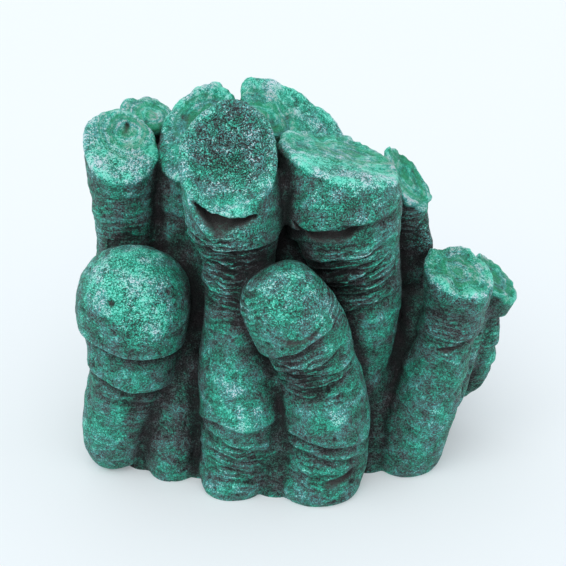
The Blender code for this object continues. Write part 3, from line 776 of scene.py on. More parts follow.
# %% The plan of the hollows
# The outline of each mouth as seen from the front, (x, height), with its y and its depth.
HOLLOWS = {
    "under_tall_lip": {
        "outline": [
            (-18.2, 59.8), (-16.7, 59.2), (-14.7, 58.5), (-12.1, 58.0), (-9.2, 57.9), (-7.3, 58.1),
            (-9.1, 57.3), (-10.7, 56.8), (-12.1, 56.0), (-13.5, 54.9), (-14.4, 54.5), (-15.4, 55.9),
            (-16.6, 57.6),
        ],
        "y": -20.5, "depth": 3.6,
    },
    "under_broad_lip": {
        "outline": [
            (-0.4, 54.9), (1.8, 53.8), (4.0, 53.4), (6.3, 53.5), (8.6, 54.1), (11.1, 55.3), (9.3, 53.1),
            (7.2, 52.1), (4.3, 51.6), (2.0, 52.6),
        ],
        "y": -19.0, "depth": 2.6,
    },
    "under_middle_fold": {
        "outline": [(4.8, 5.2), (6.3, 5.7), (8.2, 6.1), (10.6, 6.8), (9.2, 5.4), (7.2, 4.6), (5.6, 4.5)],
        "y": -26.6, "depth": 1.1,
    },
    "under_middle_head": {
        "outline": [
            (-3.9, 38.5), (-2.0, 38.1), (0.4, 38.2), (2.4, 39.0), (4.4, 40.4), (2.6, 38.3), (0.2, 37.5),
            (-2.2, 37.4),
        ],
        "y": -30.0, "depth": 0.7,
    },
    "right_dent": {
        "outline": [(26.0, 26.8), (28.0, 27.4), (30.1, 27.6), (28.1, 26.3)],
        "y": -14.0, "depth": 1.0,
    },
    "knob_pit": {
        "outline": [(-34.0, 41.2), (-33.5, 41.7), (-33.0, 41.2), (-33.4, 40.6)],
        "y": -22.0, "depth": 0.7,
    },
    "left_face_hole": {
        "outline": [(-32.4, 63.3), (-31.8, 63.9), (-31.3, 63.4), (-31.8, 62.8)],
        "y": 5.6, "depth": 0.9,
    },
}
INTO_THE_STONE = np.array([0.0, 0.97, -0.24])
print(len(HOLLOWS), "hollows, the deepest", max(hollow["depth"] for hollow in HOLLOWS.values()), "mm")

# %% Push the hollows in
# A hollow reaches its full depth just under its lip, and runs out towards the bottom of its mouth.
MOUTH_EDGE = 0.35
MOUTH_REACH = 4.0
UNEVEN_MOUTH, UNEVEN_MOUTH_SIZE = 0.15, 1.2
FACING_AWAY = 0.2
BELOW_MOUTH, BELOW_LIP = 0.4, 0.6


def distance_inside(flat, outline):
    """How far each (x, height) lies inside a closed outline, negative outside."""
    corners = np.array(outline)
    following = np.roll(corners, -1, axis=0)
    nearest = np.full(len(flat), np.inf)
    inside = np.zeros(len(flat), bool)
    for start, end in zip(corners, following):
        side = end - start
        part = np.clip((flat - start) @ side / (side @ side), 0.0, 1.0)
        nearest = np.minimum(nearest, np.linalg.norm(flat - start - part[:, None] * side, axis=1))
        spans = (start[1] > flat[:, 1]) != (end[1] > flat[:, 1])
        if side[1] != 0.0:
            crossing = start[0] + (flat[:, 1] - start[1]) / side[1] * side[0]
            inside ^= spans & (flat[:, 0] < crossing)
    return np.where(inside, nearest, -nearest)


def hollow_mask(places, hollow, shift=0.0):
    """1 inside the mouth of a hollow, 0 outside, looking from the front."""
    moved_back = places - shift * INTO_THE_STONE
    flat = moved_back[:, [0, 2]] + UNEVEN_MOUTH * noise(places, UNEVEN_MOUTH_SIZE, 31)[:, None]
    inside = soft_step(-MOUTH_EDGE, MOUTH_EDGE, distance_inside(flat, hollow["outline"]))
    return inside * (np.abs(moved_back[:, 1] - hollow["y"]) < MOUTH_REACH)


moved = places.copy()
for hollow in HOLLOWS.values():
    mask = hollow_mask(places, hollow) * (normals[:, 1] < FACING_AWAY)
    heights = np.array(hollow["outline"])[:, 1]
    scoop = soft_step(heights.min() - BELOW_MOUTH, heights.max() - BELOW_LIP, places[:, 2])
    moved += (mask * scoop * hollow["depth"])[:, None] * INTO_THE_STONE
print("points moved into hollows:", int((np.abs(moved - places).max(axis=1) > 0.05).sum()))

# %% Lumps, wrinkles, pits and rough breaks
# Each layer of noise: its depth, its size and its seed.
LUMPS = [(0.36, 6.0, 1), (0.13, 2.8, 2)]
WRINKLES = [(0.07, 2.0, 3), (0.05, 1.0, 4)]
CRESTS = [(0.16, 3.4, 7), (0.10, 1.5, 8)]
GRIT = [(0.06, 0.8, 9)]
WRINKLE_FLATNESS = 2.2
PIT_DEPTH, PIT_SIZE, PIT_EDGE = 0.30, 1.4, (0.62, 0.85)


def ridges(points, size, seed):
    """Sharp crests with smooth valleys, as on a fresh break."""
    return 1.0 - 2.0 * np.abs(noise(points, size, seed))


def layered(points, layers, kind=noise):
    return sum(depth * kind(points, size, seed) for depth, size, seed in layers)


flattened = moved * np.array([1.0, 1.0, WRINKLE_FLATNESS])
pits = -PIT_DEPTH * soft_step(*PIT_EDGE, noise(moved, PIT_SIZE, 6))
broken = layered(moved, CRESTS, ridges) + layered(moved, GRIT)
relief = layered(moved, LUMPS) + layered(flattened, WRINKLES)
relief = relief + pits * (1.0 - face_mask) + broken * face_mask
moved += normals * relief[:, None]
write_points(stone, moved)
print("relief from", relief.min().round(2), "to", relief.max().round(2), "mm")

# %% [markdown]
# ## A light mesh, cut off flat
#
# The skin has far more triangles than a reusable part should carry. Decimate takes away those that lie flat
# and keeps the folds. The stone then gets the flat base that it stands on.

# %% Thin out
MOST_TRIANGLES = 190000


def triangle_count(mesh):
    return len(mesh.loops) - 2 * len(mesh.polygons)


thin_out = stone.modifiers.new("thin_out", "DECIMATE")
thin_out.ratio = min(1.0, MOST_TRIANGLES / triangle_count(stone.data))
apply_modifiers(stone)
print("thinned out:", triangle_count(stone.data), "triangles")

# %% Cut the base
edit = bmesh.new()
edit.from_mesh(stone.data)
everything = edit.verts[:] + edit.edges[:] + edit.faces[:]
bmesh.ops.bisect_plane(edit, geom=everything, plane_co=(0, 0, 0), plane_no=(0, 0, -1), clear_outer=True)
bmesh.ops.holes_fill(edit, edges=[edge for edge in edit.edges if edge.is_boundary])
bmesh.ops.triangulate(edit, faces=[face for face in edit.faces if len(face.verts) > 4])
edit.to_mesh(stone.data)
edit.free()
print("the stone's mesh:", triangle_count(stone.data), "triangles")

# %% [markdown]
# ## What the material needs to know
#
# The finish changes over the stone. Bands follow the length of each finger, and rings run round the middle of a
# break. Shade is painted into the colour where stone stands close around a place, and darker still right under a
# lip; highlights, sheen and shade are painted in patches, and highlights where the stone stands proud. Each of
# these is measured here and stored on the points as a named attribute. Painting in a picture would need an
# unwrapped skin, and would be lost with the next change of shape.

# %% Measure height over the surroundings
# Rounds of smoothing, and the height that counts as fully raised.
FINE_ROUNDS, FULL_FINE_HEIGHT = 3, 0.12
BROAD_ROUNDS, FULL_BROAD_HEIGHT = 24, 0.6


def standing_out(places, normals, edges, rounds):
    """How far each point stands out of the skin around it, in millimetres."""
    counts = neighbour_counts(places, edges)
    smoothed = places.copy()
    for _ in range(rounds):
        smoothed = 0.4 * smoothed + 0.6 * neighbour_mean(smoothed, edges, counts)
    return np.einsum("ij,ij->i", places - smoothed, normals)


def store(target, name, values):
    """Keep one number for each point as a named attribute."""
    attribute = target.data.attributes.new(name, "FLOAT", "POINT")
    attribute.data.foreach_set("value", values.astype(np.float32))
    print(f"{name}: {values.min():.2f} to {values.max():.2f}")


places, normals = read_points(stone)
edges = edge_array(stone)
fine_height = standing_out(places, normals, edges, FINE_ROUNDS)
broad_height = standing_out(places, normals, edges, BROAD_ROUNDS)
store(stone, "fine_height", np.clip(fine_height / FULL_FINE_HEIGHT, -1.0, 1.0))
store(stone, "broad_height", np.clip(broad_height / FULL_BROAD_HEIGHT, -1.0, 1.0))

# %% Growth rings on the broken faces
# The place that the rings of a face run round, and how much they are drawn out sideways.
GROWTH_CENTRES = {
    "left_back": ((-31.4, 4.4, 63.2), 1.0),
    "left_bump": ((-27.6, 12.0, 63.0), 1.0),
    "middle_left": ((-17.6, 5.0, 65.4), 1.0),
    "tall_front": ((-30.0, -12.0, 66.0), 1.0),
    "broad_front": ((10.0, -3.5, 62.5), 2.6),
    **dict.fromkeys(("left_peak", "peak_saddle", "right_peak"), ((-6.5, 5.0, 66.0), 1.4)),
}


def ring_distance(places, owner, off_axis):
    """How far each point lies from the middle of its finger's growth rings."""
    distance = off_axis.copy()
    for index, name in enumerate(FINGERS):
        if name in GROWTH_CENTRES:
            centre, drawn_out = GROWTH_CENTRES[name]
            apart = (places - np.array(centre)) / np.array([drawn_out, 1.0, 1.0])
            distance = np.where(owner == index, np.linalg.norm(apart, axis=1), distance)
    return distance


owner, along, off_axis, crease_gap = nearest_fingers(places)
store(stone, "along", along)
store(stone, "ring", ring_distance(places, owner, off_axis))

# %% How sheltered each point is
# Rays go out into the half of space over a point. Those that meet stone within the long reach make it sheltered.
# Within the short reach, with the rays turned upwards, they make it tucked under a lip. Only every few points
# are measured, and the others take the mean of the nearest. The rays start a little off the skin, and FULL_SKY
# is just over 1, so that no ray is of zero length.
SHELTER_REACH, SHELTER_UPWARDS, SHELTER_EVERY = 14.0, 0.0, 7
TUCKED_REACH, TUCKED_UPWARDS, TUCKED_EVERY = 3.0, 0.8, 2
SHELTER_RAYS = 24
RAY_START = 0.2
FULL_SKY = 1.02
NEAREST_SAMPLES = 3


def sheltered(places, normals, target, reach, upwards, every):
    """The share of the open sky over each point that stone within reach takes up."""
    faces = [tuple(polygon.vertices) for polygon in target.data.polygons]
    tree = BVHTree.FromPolygons([tuple(place) for place in places], faces)
    dice = np.random.default_rng(5)
    rays = unit(dice.normal(size=(SHELTER_RAYS, 3)))
    samples = np.arange(0, len(places), every)
    shares = np.zeros(len(samples))
    near = KDTree(len(samples))
    for row, index in enumerate(samples):
        start = Vector(places[index] + normals[index] * RAY_START)
        sky = unit(normals[index] + np.array([0.0, 0.0, upwards]))
        hits = 0
        for direction in unit(rays + sky * FULL_SKY):
            hits += tree.ray_cast(start, direction, reach)[0] is not None
        shares[row] = hits / SHELTER_RAYS
        near.insert(start, row)
    near.balance()
    around = [[row for _, row, _ in near.find_n(place, NEAREST_SAMPLES)] for place in places]
    return shares[np.array(around)].mean(axis=1)


# Both shares become painted shade: the colour darkens where stone stands close around a point, and still more
# under a lip, where light from above is cut off.
shelter = sheltered(places, normals, stone, SHELTER_REACH, SHELTER_UPWARDS, SHELTER_EVERY)
store(stone, "sheltered", shelter)
store(stone, "tucked", sheltered(places, normals, stone, TUCKED_REACH, TUCKED_UPWARDS, TUCKED_EVERY))

# %% Breaks, creases and hollows
CREASE_FADE = 1.3
FACING_BACK = 0.8
crystal_cover = np.array([shape.get("overgrown", 0.0) for shape in FINGERS.values()])
store(stone, "broken", broken_face_mask(places, owner, off_axis) * (1.0 - crystal_cover[owner]))
store(stone, "crease", np.exp(-np.clip(crease_gap, 0.0, None) / CREASE_FADE))
in_hollow = np.zeros(len(places))
for hollow in HOLLOWS.values():
    for part in (0.5, 1.0):
        mask = hollow_mask(places, hollow, part * hollow["depth"]) * (normals[:, 1] < FACING_BACK)
        in_hollow = np.maximum(in_hollow, mask)
store(stone, "hollow", in_hollow)

# %% Patches of painted sheen and shade, folded and sparkling patches
# Each is a place on the skin, its radius and its strength. The first list paints the velvet lighter, as painted
# highlights and sheen where it catches the light, or darker, as painted shade, where the strength is negative.
# FOLDED is where growth folds lie too close together for the mesh alone. SPARKLING is where the crystal specks
# show strongest, partly the grain of the crystals and partly painted glints.
# Painted highlights and sheen where the strength is positive, painted shade where it is negative.
SHEEN_AND_SHADE_SPOTS = [
    (-11.1, -23.9, 21.1, 4.6, 0.7), (-12.7, -21.9, 26.3, 3.2, 0.5), (-8.7, -24.9, 16.4, 3.0, 0.3),
    (-11.6, -25.3, 2.8, 3.4, 0.1), (5.9, -26.1, 20.4, 4.4, 0.55), (9.1, -24.3, 23.5, 3.4, 0.6),
    (5.7, -26.0, 7.8, 2.8, 0.4), (0.5, -26.3, 3.5, 3.0, -0.2), (-5.3, -27.0, 45.0, 4.0, 0.2),
    (-2.0, -30.0, 42.0, 5.2, 0.15), (-32.4, -20.0, 43.9, 6.6, 1.0), (-25.8, -21.8, 38.3, 3.6, 0.7),
    (-27.5, -22.0, 35.0, 3.0, 0.5), (-30.0, -14.0, 47.5, 6.0, 0.5), (-35.6, -17.8, 11.4, 4.2, 0.8),
    (-31.2, -20.5, 24.4, 2.4, 0.2), (-31.0, -16.0, 45.0, 8.0, 0.9), (-11.5, -19.0, 60.5, 4.5, 0.7),
    (-18.5, 5.0, 64.5, 7.0, -0.7), (21.0, 1.0, 54.5, 4.5, 0.6), (35.7, 0.0, 20.5, 5.0, 0.4),
    (-21.5, -14.0, 22.0, 5.0, -0.5), (3.5, -27.0, 4.5, 3.4, -0.4), (-11.0, -20.5, 52.5, 3.6, -0.5),
    (-25.0, -18.8, 3.5, 1.8, 0.6), (26.9, -16.2, 13.0, 3.8, 0.5), (22.3, -17.4, 5.9, 3.0, 0.6),
    (29.5, -13.9, 23.7, 2.6, 0.3), (14.9, -14.5, 31.6, 3.4, 0.8), (12.5, -14.0, 24.0, 3.6, 0.6),
    (2.0, -11.0, 64.6, 3.4, 0.9), (14.5, -9.0, 61.4, 3.4, 0.9), (8.0, -15.5, 62.0, 2.6, 0.5),
    (-10.7, -20.6, 54.1, 2.4, 0.4), (-12.0, -8.5, 69.5, 7.0, -1.0), (-8.5, -14.5, 64.0, 2.6, -0.4),
    (-29.5, -17.5, 26.0, 2.6, -0.6), (-27.5, -17.0, 15.0, 4.6, -0.6), (-32.5, -4.5, 40.0, 8.0, -0.5),
    (-22.0, -10.0, 33.0, 7.0, -0.3), (-11.0, -19.5, 36.0, 6.0, -0.5), (-10.5, -19.5, 47.0, 6.0, -0.8),
    (0.5, -26.0, 29.0, 5.5, -0.5), (28.5, -13.5, 32.0, 6.5, -1.0), (-4.0, -14.5, 54.0, 5.0, -0.3),
    (1.5, -16.0, 54.5, 4.0, -0.4), (-24.0, -17.0, 10.0, 7.0, -0.9), (20.5, -2.5, 40.0, 8.0, -0.6),
    (-12.0, 23.5, 24.0, 4.6, 0.8), (8.0, 21.5, 12.0, 4.2, 0.7), (-18.5, 22.0, 48.0, 4.2, 0.8),
    (-39.0, -1.0, 30.0, 3.6, 0.6), (16.5, 15.5, 30.0, 3.2, 0.7),
]
FOLDED = [
    (-11.0, -20.0, 44.0, 8.5, 1.0), (-14.0, -19.0, 52.0, 4.0, 0.8), (1.0, -27.0, 29.5, 6.5, 0.9),
    (5.0, -27.0, 8.0, 5.5, 0.5), (-11.0, -25.0, 8.0, 6.5, 0.6), (10.5, -18.0, 43.5, 9.0, 1.0),
    (27.5, -14.0, 30.0, 6.0, 0.5), (-33.0, -5.0, 47.0, 8.0, 0.5), (-31.0, -19.0, 15.0, 6.0, 0.3),
    (20.8, -1.0, 47.0, 4.0, 0.7), (37.0, -1.0, 22.0, 5.0, 0.6), (-18.5, 22.0, 40.0, 9.0, 0.6),
    (8.0, 21.0, 32.0, 7.0, 0.6), (-11.0, 23.0, 34.0, 6.0, 0.7),
]
SPARKLING = [
    (-11.9, -10.6, 67.0, 8.5, 1.0), (-31.0, -17.0, 45.5, 8.5, 0.3), (-28.0, -21.0, 37.0, 5.0, 0.6),
    (-1.0, -26.5, 46.5, 7.0, 0.4), (23.6, -0.8, 43.6, 3.0, 1.0), (-10.0, -20.0, 54.0, 5.0, 0.5),
    (8.0, -15.0, 58.0, 8.0, 0.5), (29.0, -9.0, 41.0, 6.0, 0.5), (-33.0, 0.0, 60.0, 6.0, 0.5),
]
PATCH_EDGE = (1.5, 0.3)


def patches(places, spots):
    """Soft round patches on the skin, at their full strength in the middle."""
    total = np.zeros(len(places))
    for x, y, z, radius, strength in spots:
        distance = np.linalg.norm(places - np.array([x, y, z]), axis=1)
        total += strength * soft_step(*PATCH_EDGE, distance / radius)
    return np.clip(total, -1.0, 1.0)


for name, spots in (("rubbed", SHEEN_AND_SHADE_SPOTS), ("folded", FOLDED), ("sparkling", SPARKLING)):
    store(stone, name, patches(places, spots))
stone.data.shade_smooth()

# %% [markdown]
# ## Shader groups
#
# Two effects are used more than once, each time with its own values, so each is a node group. The crystal grain
# gives every little crystal its own random number, which makes the velvet sparkle with specks, and a height for
# the bump. A Voronoi texture does it, because its cells are as separate as crystals are. The growth bands are
# a sine wave along a distance, made uneven by noise: folds along a finger, or rings across a break.

# %% Node helpers
def add_node(tree, kind, **settings):
    node = tree.nodes.new(kind)
    for key, value in settings.items():
        setattr(node, key, value)
    return node


def set_inputs(tree, node, values):
    """Link each named or numbered input to a socket, or set it to a number or a colour."""
    for name, value in values.items():
        if isinstance(value, bpy.types.NodeSocket):
            tree.links.new(value, node.inputs[name])
        else:
            node.inputs[name].default_value = value


def math_node(tree, operation, *operands, clamp=False):
    node = add_node(tree, "ShaderNodeMath", operation=operation, use_clamp=clamp)
    set_inputs(tree, node, dict(enumerate(operands)))
    return node.outputs[0]


def mix_colors(tree, factor, first, second, blend="MIX"):
    node = add_node(tree, "ShaderNodeMix", data_type="RGBA", blend_type=blend)
    set_inputs(tree, node, {0: factor, 6: first, 7: second})
    return node.outputs[2]


def noise_texture(tree, position, scale, detail, roughness):
    node = add_node(tree, "ShaderNodeTexNoise")
    set_inputs(tree, node, {"Vector": position, "Scale": scale, "Detail": detail, "Roughness": roughness})
    return node.outputs["Fac"]


def new_group(name, inputs, outputs):
    """An empty node group with these sockets, and its input and output nodes."""
    group = bpy.data.node_groups.new(name, "ShaderNodeTree")
    for way, sockets in (("INPUT", inputs), ("OUTPUT", outputs)):
        for socket, kind in sockets.items():
            group.interface.new_socket(socket, in_out=way, socket_type="NodeSocket" + kind)
    print("group:", name, "puts out", ", ".join(outputs))
    return group, add_node(group, "NodeGroupInput"), add_node(group, "NodeGroupOutput")


def place_group(tree, group, values):
    node = add_node(tree, "ShaderNodeGroup", node_tree=group)
    set_inputs(tree, node, values)
    return node


# %% The crystal grain group
LOWEST_CRYSTAL = 0.4


def crystal_grain_group():
    inputs = {"Vector": "Vector", "Crystals per metre": "Float"}
    group, given, result = new_group("crystal_grain", inputs, {"Speck": "Float", "Height": "Float"})
    crystals = add_node(group, "ShaderNodeTexVoronoi", feature="F1")
    set_inputs(group, crystals, {"Vector": given.outputs["Vector"], "Scale": given.outputs["Crystals per metre"]})
    split = add_node(group, "ShaderNodeSeparateColor")
    set_inputs(group, split, {"Color": crystals.outputs["Color"]})
    rounded = math_node(group, "SUBTRACT", 1.0, crystals.outputs["Distance"])
    crystal_height = math_node(group, "ADD", split.outputs["Green"], LOWEST_CRYSTAL)
    height = math_node(group, "MULTIPLY", rounded, crystal_height)
    set_inputs(group, result, {"Speck": split.outputs["Red"], "Height": height})
    return group


GRAIN = crystal_grain_group()

# %% The growth band group
WOBBLE_SCALE, WOBBLE_DETAIL, WOBBLE_ROUGHNESS = 260.0, 5.0, 0.62


def growth_band_group():
    inputs = {"Place": "Float", "Vector": "Vector", "Bands per millimetre": "Float", "Wobble": "Float"}
    group, given, result = new_group("growth_bands", inputs, {"Band": "Float"})
    wobble = noise_texture(group, given.outputs["Vector"], WOBBLE_SCALE, WOBBLE_DETAIL, WOBBLE_ROUGHNESS)
    shift = math_node(group, "SUBTRACT", wobble, 0.5)
    shift = math_node(group, "MULTIPLY", shift, given.outputs["Wobble"])
    shift = math_node(group, "MULTIPLY", shift, 2.0)
    place = math_node(group, "ADD", given.outputs["Place"], shift)
    turns = math_node(group, "MULTIPLY", place, given.outputs["Bands per millimetre"])
    wave = math_node(group, "SINE", math_node(group, "MULTIPLY", turns, 2.0 * math.pi))
    set_inputs(group, result, {"Band": math_node(group, "MULTIPLY_ADD", wave, 0.5, 0.5)})
    return group


BANDS = growth_band_group()

# %% [markdown]
# ## The stone's material
#
# Malachite velvet is nearly black where light sinks between the crystals, and turquoise where it catches the
# light, with every step between. So one number says how light each place is, and a ramp of stone colours turns it
# into colour. The number adds up painted shade where stone stands close around or over a place, painted
# highlights where it is raised, the patches of painted sheen and shade, noise at several sizes and the crystals'
# own grain. A second noise tints it, from vivid green to a dusty lilac. The breaks are lighter and get leaf-green
# growth rings. Mixing several finished materials by masks would do too, but one sum is easier to balance.

# %% Colours of the stone
def from_srgb(red, green, blue):
    """A colour as screens show it, 0 to 255, as the linear colour that shaders need."""
    linear = []
    for value in (red, green, blue):
        part = value / 255.0
        linear.append(part / 12.92 if part <= 0.04045 else ((part + 0.055) / 1.055) ** 2.4)
    return (*linear, 1.0)


STONE_COLORS = [
    (0.00, from_srgb(14, 19, 20)),
    (0.18, from_srgb(30, 41, 41)),
    (0.34, from_srgb(51, 72, 71)),
    (0.50, from_srgb(52, 104, 96)),
    (0.66, from_srgb(50, 136, 124)),
    (0.82, from_srgb(62, 176, 164)),
    (0.94, from_srgb(92, 204, 194)),
    (1.00, from_srgb(164, 232, 228)),
]
VIVID_TINT = (0.50, 1.05, 0.86, 1.0)
DUSTY_TINT = (1.80, 0.97, 1.10, 1.0)
LEAF_GREEN = from_srgb(18, 156, 96)
DARK_LEAF = from_srgb(14, 96, 72)
# Painted shade: a dark brownish grey laid into the hollows under the lips.
HOLLOW_SHADE_COLOR = from_srgb(66, 62, 62)
print(len(STONE_COLORS), "stone colours, from nearly black to pale turquoise")

# %% Small sums in nodes
def scaled(tree, value, strength, added=0.0):
    return math_node(tree, "MULTIPLY_ADD", value, strength, added)


def centred(tree, value, strength):
    """A value around a half, as a push up or down of this strength."""
    return math_node(tree, "MULTIPLY", math_node(tree, "SUBTRACT", value, 0.5), strength)


def sum_of(tree, values):
    total = values[0]
    for value in values[1:]:
        total = math_node(tree, "ADD", total, value)
    return total


def stepped(tree, value, low, high):
    """0 at low and 1 at high, with a smooth slope between."""
    node = add_node(tree, "ShaderNodeMapRange", interpolation_type="SMOOTHSTEP")
    set_inputs(tree, node, {"Value": value, "From Min": low, "From Max": high})
    return node.outputs["Result"]


# %% Everything that the material is made from
MEASURES = ["along", "broad_height", "broken", "crease", "fine_height", "folded", "hollow"]
MEASURES += ["ring", "rubbed", "sheltered", "sparkling", "tucked"]
# Crystals for each metre.
GRAINS = {"fine": 5200.0, "coarse": 3300.0}
# Scale, detail and roughness.
NOISES = {"clouds": (170.0, 5.0, 0.66), "mottle": (520.0, 7.0, 0.70), "hue": (290.0, 4.0, 0.62)}
# The measure that the bands follow, bands for each millimetre, and wobble.
BAND_LAYERS = {
    "folds": ("along", 0.85, 1.6),
    "fine_folds": ("along", 2.1, 1.1),
    "wide_rings": ("ring", 0.42, 2.6),
    "thin_rings": ("ring", 1.05, 1.0),
}
FOLDS_SHARE, FINE_FOLDS_SHARE, FOLD_PUSH = 0.65, 0.35, 0.75
RINGS_END, RINGS_FULL = 9.5, 2.0


def surface_values(tree):
    """A socket for each measure, grain, noise and band that the material uses."""
    position = add_node(tree, "ShaderNodeTexCoord").outputs["Object"]
    value = {}
    for name in MEASURES:
        value[name] = add_node(tree, "ShaderNodeAttribute", attribute_name=name).outputs["Fac"]
    for name, per_metre in GRAINS.items():
        node = place_group(tree, GRAIN, {"Vector": position, "Crystals per metre": per_metre})
        value[name + "_speck"], value[name + "_bump"] = node.outputs["Speck"], node.outputs["Height"]
    for name, settings in NOISES.items():
        value[name] = noise_texture(tree, position, *settings)
    for name, (measure, per_millimetre, wobble) in BAND_LAYERS.items():
        inputs = {"Place": value[measure], "Vector": position}
        inputs |= {"Bands per millimetre": per_millimetre, "Wobble": wobble}
        value[name] = place_group(tree, BANDS, inputs).outputs["Band"]
    # The fold bands paint light crests and dark gaps into the colour: partly banding of the growth layers, partly
    # painted shade between folds too fine for the mesh.
    folds = [scaled(tree, value["folds"], FOLDS_SHARE), scaled(tree, value["fine_folds"], FINE_FOLDS_SHARE)]
    fold_push = centred(tree, sum_of(tree, folds), FOLD_PUSH)
    value["fold_push"] = math_node(tree, "MULTIPLY", value["folded"], fold_push)
    near_middle = stepped(tree, value["ring"], RINGS_END, RINGS_FULL)
    value["ringed"] = math_node(tree, "MULTIPLY", value["broken"], near_middle)
    return value


# %% How light each place is
# How strongly each thing pushes the lightness up or down from its middle.
MIDDLE_LIGHTNESS = 0.57
FINE_GRAIN, COARSE_GRAIN = 0.48, 0.18
# The crystal specks are the grain of the crystals; in the sparkling patches they are made stronger as painted
# glints.
GRAIN_IN_SPARKLE, GRAIN_IN_RINGS = 1.0, -0.5
MOTTLE, MOTTLE_IN_SPARKLE = 1.15, -0.65
CLOUDS = 0.80
THIN_RINGS = 0.26
# Painted light and shade: sheltered, tucked and crease darken the colour where shade falls, in recesses, under
# lips and in creases; fine_height lightens crests and lips as painted highlights and darkens troughs as painted
# shade; broad_height lightens broadly raised places as painted light; the patches paint highlights, sheen and
# shade. broken is the lighter stone of the breaks.
LIGHTER = {
    "rubbed": 0.19,
    "sheltered": -0.22,
    "tucked": -0.75,
    "fine_height": 0.13,
    "broad_height": 0.03,
    "broken": 0.30,
    "crease": -0.08,
}


def lightness(tree, value):
    """How light the stone is, from 0 to 1."""
    specks = [centred(tree, value["fine_speck"], FINE_GRAIN), centred(tree, value["coarse_speck"], COARSE_GRAIN)]
    speck_strength = [scaled(tree, value["sparkling"], GRAIN_IN_SPARKLE, 1.0)]
    speck_strength.append(scaled(tree, value["ringed"], GRAIN_IN_RINGS))
    mottle = centred(tree, value["mottle"], MOTTLE)
    mottle_strength = scaled(tree, value["sparkling"], MOTTLE_IN_SPARKLE, 1.0)
    pushes = [
        math_node(tree, "MULTIPLY", sum_of(tree, specks), sum_of(tree, speck_strength)),
        math_node(tree, "MULTIPLY", mottle, mottle_strength),
        centred(tree, value["clouds"], CLOUDS),
        value["fold_push"],
        math_node(tree, "MULTIPLY", value["ringed"], centred(tree, value["thin_rings"], THIN_RINGS)),
    ]
    pushes += [scaled(tree, value[name], strength) for name, strength in LIGHTER.items()]
    return math_node(tree, "ADD", sum_of(tree, pushes), MIDDLE_LIGHTNESS, clamp=True)


# %% From lightness to colour
HUE_IN_SHEEN_AND_SHADE = -0.05
HUE_STEP = (0.38, 0.64)
WIDE_RING_SHARE, THIN_RING_SHARE = 0.60, 0.35
HOLLOW_SHARE = 0.75


def stone_ramp(tree, light):
    ramp = add_node(tree, "ShaderNodeValToRGB")
    stops = ramp.color_ramp.elements
    stops[0].position, stops[0].color = STONE_COLORS[0]
    stops[1].position, stops[1].color = STONE_COLORS[-1]
    for place, color in STONE_COLORS[1:-1]:
        stops.new(place).color = color
    set_inputs(tree, ramp, {"Fac": light})
    return ramp.outputs["Color"]


def stone_color(tree, value):
    """The ramp's colour, tinted, with growth rings on the breaks and painted shade of dark brownish grey in the
    hollows.
    """
    hue = math_node(tree, "ADD", value["hue"], scaled(tree, value["rubbed"], HUE_IN_SHEEN_AND_SHADE))
    tint = mix_colors(tree, stepped(tree, hue, *HUE_STEP), VIVID_TINT, DUSTY_TINT)
    color = mix_colors(tree, 1.0, stone_ramp(tree, lightness(tree, value)), tint, "MULTIPLY")
    wide_share = math_node(tree, "MULTIPLY", scaled(tree, value["ringed"], WIDE_RING_SHARE), value["wide_rings"])
    thin_share = math_node(tree, "MULTIPLY", scaled(tree, value["ringed"], THIN_RING_SHARE), value["thin_rings"])
    color = mix_colors(tree, wide_share, color, LEAF_GREEN)
    color = mix_colors(tree, thin_share, color, DARK_LEAF)
    return mix_colors(tree, scaled(tree, value["hollow"], HOLLOW_SHARE), color, HOLLOW_SHADE_COLOR)


# %% The bump
BUMP_DISTANCE = 0.0009
BUMP_HEIGHTS = {"fine_bump": 0.12, "coarse_bump": 0.14, "mottle": 0.22, "fold_push": 0.55}
RING_BUMP = 0.10


def stone_normal(tree, value):
    """Crystals, mottling, folds and rings that are too fine for the mesh."""
    heights = [scaled(tree, value[name], strength) for name, strength in BUMP_HEIGHTS.items()]
    rings = math_node(tree, "MULTIPLY", value["broken"], value["wide_rings"])
    heights.append(scaled(tree, rings, RING_BUMP))
    bump = add_node(tree, "ShaderNodeBump")
    set_inputs(tree, bump, {"Strength": 1.0, "Distance": BUMP_DISTANCE, "Height": sum_of(tree, heights)})
    return bump.outputs["Normal"]


# %% Put the material together
ROUGHNESS, ROUGHNESS_OF_SPECKS = 0.60, -0.36


def malachite_material():
    material = bpy.data.materials.new("malachite_velvet")
    material.use_nodes = True
    tree = material.node_tree
    value = surface_values(tree)
    speck_roughness = centred(tree, value["fine_speck"], ROUGHNESS_OF_SPECKS)
    finish = {
        "Base Color": stone_color(tree, value),
        "Roughness": math_node(tree, "ADD", ROUGHNESS, speck_roughness),
        "Normal": stone_normal(tree, value),
        "Metallic": 0.0,
        "Specular IOR Level": 0.42,
        "Sheen Weight": 0.05,
        "Sheen Roughness": 0.35,
        "Sheen Tint": from_srgb(190, 235, 225),
    }
    set_inputs(tree, tree.nodes["Principled BSDF"], finish)
    print("material:", material.name, "with", len(tree.nodes), "nodes")
    return material


stone.data.materials.clear()
stone.data.materials.append(malachite_material())

# %% Hand the stone over
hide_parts("malachite_cluster")
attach(stone, "root")
print(stone.name, "stands for the solid and rides on the root")

# %% [markdown]
# ## Floor, light and camera
#
# The stone stands on a plain pale floor in an even, bright room, as in a catalogue. One wide soft light shines
# from behind the viewer, high up and a little to the left. The floor glows faintly, which keeps the soft shadow
# pale. The camera looks down on the stone with a long lens, from about half a metre.

# %% Floor
ROOM_COLOR = (0.93, 0.97, 1.0, 1.0)
FLOOR_SIZE = 3.0
FLOOR_FINISH = {
    "Base Color": (0.64, 0.68, 0.705, 1.0),
    "Emission Color": ROOM_COLOR,
    "Emission Strength": 0.24,
    "Roughness": 0.9,
    "Specular IOR Level": 0.1,
}


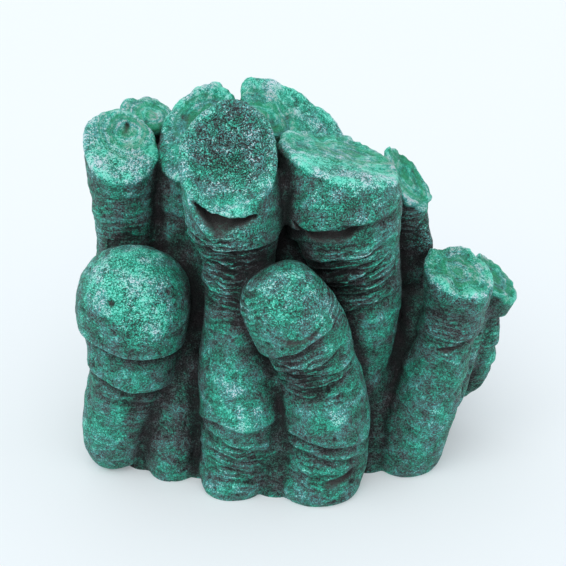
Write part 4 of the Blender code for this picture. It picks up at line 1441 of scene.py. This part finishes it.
def pale_floor():
    bpy.ops.mesh.primitive_plane_add(size=FLOOR_SIZE, location=(0.0, 0.0, 0.0))
    floor = bpy.context.active_object
    floor.name = "floor"
    material = bpy.data.materials.new("pale_floor")
    material.use_nodes = True
    set_inputs(material.node_tree, material.node_tree.nodes["Principled BSDF"], FLOOR_FINISH)
    floor.data.materials.append(material)
    print("floor:", FLOOR_SIZE, "m square")
    return floor


pale_floor()

# %% Light
KEY_LEFT = math.radians(20.0)
KEY_HEIGHT = math.radians(60.0)
KEY_SPREAD = math.radians(60.0)
KEY_STRENGTH = 1.15
KEY_COLOR = (1.0, 0.99, 0.97)
ROOM_STRENGTH = 0.82


def key_light():
    """A wide soft light from the left and above."""
    light = bpy.data.lights.new("key", "SUN")
    light.energy = KEY_STRENGTH
    light.angle = KEY_SPREAD
    light.color = KEY_COLOR
    holder = bpy.data.objects.new("key", light)
    holder.rotation_euler = (0.5 * math.pi - KEY_HEIGHT, 0.0, -KEY_LEFT)
    bpy.context.scene.collection.objects.link(holder)


def bright_room():
    world = bpy.data.worlds.new("bright_room")
    bpy.context.scene.world = world
    world.use_nodes = True
    background = world.node_tree.nodes["Background"]
    set_inputs(world.node_tree, background, {"Color": ROOM_COLOR, "Strength": ROOM_STRENGTH})


key_light()
bright_room()
bpy.context.scene.view_settings.view_transform = "Standard"
print("key light", KEY_STRENGTH, "and room", ROOM_STRENGTH)

# %% Camera
CAMERA_PITCH = math.radians(29.0)
CAMERA_DISTANCE = 0.450
FRAME_PIXELS = 566
MM_PER_PIXEL = 0.19
SENSOR_WIDTH = 36.0
AIM_ON_PLAN = Vector((-2.66, 0.0, 33.5))
AIM = AIM_ON_PLAN * MM - Vector(PLAN_MIDDLE) * MM

lens = bpy.data.cameras.new("camera")
lens.sensor_width = SENSOR_WIDTH
lens.lens = SENSOR_WIDTH * CAMERA_DISTANCE / (FRAME_PIXELS * MM_PER_PIXEL * MM)
camera = bpy.data.objects.new("camera", lens)
back_and_up = Vector((0.0, -math.cos(CAMERA_PITCH), math.sin(CAMERA_PITCH)))
camera.location = AIM + back_and_up * CAMERA_DISTANCE
camera.rotation_euler = (0.5 * math.pi - CAMERA_PITCH, 0.0, 0.0)
bpy.context.scene.collection.objects.link(camera)
bpy.context.scene.camera = camera
print("lens:", round(lens.lens, 1), "mm")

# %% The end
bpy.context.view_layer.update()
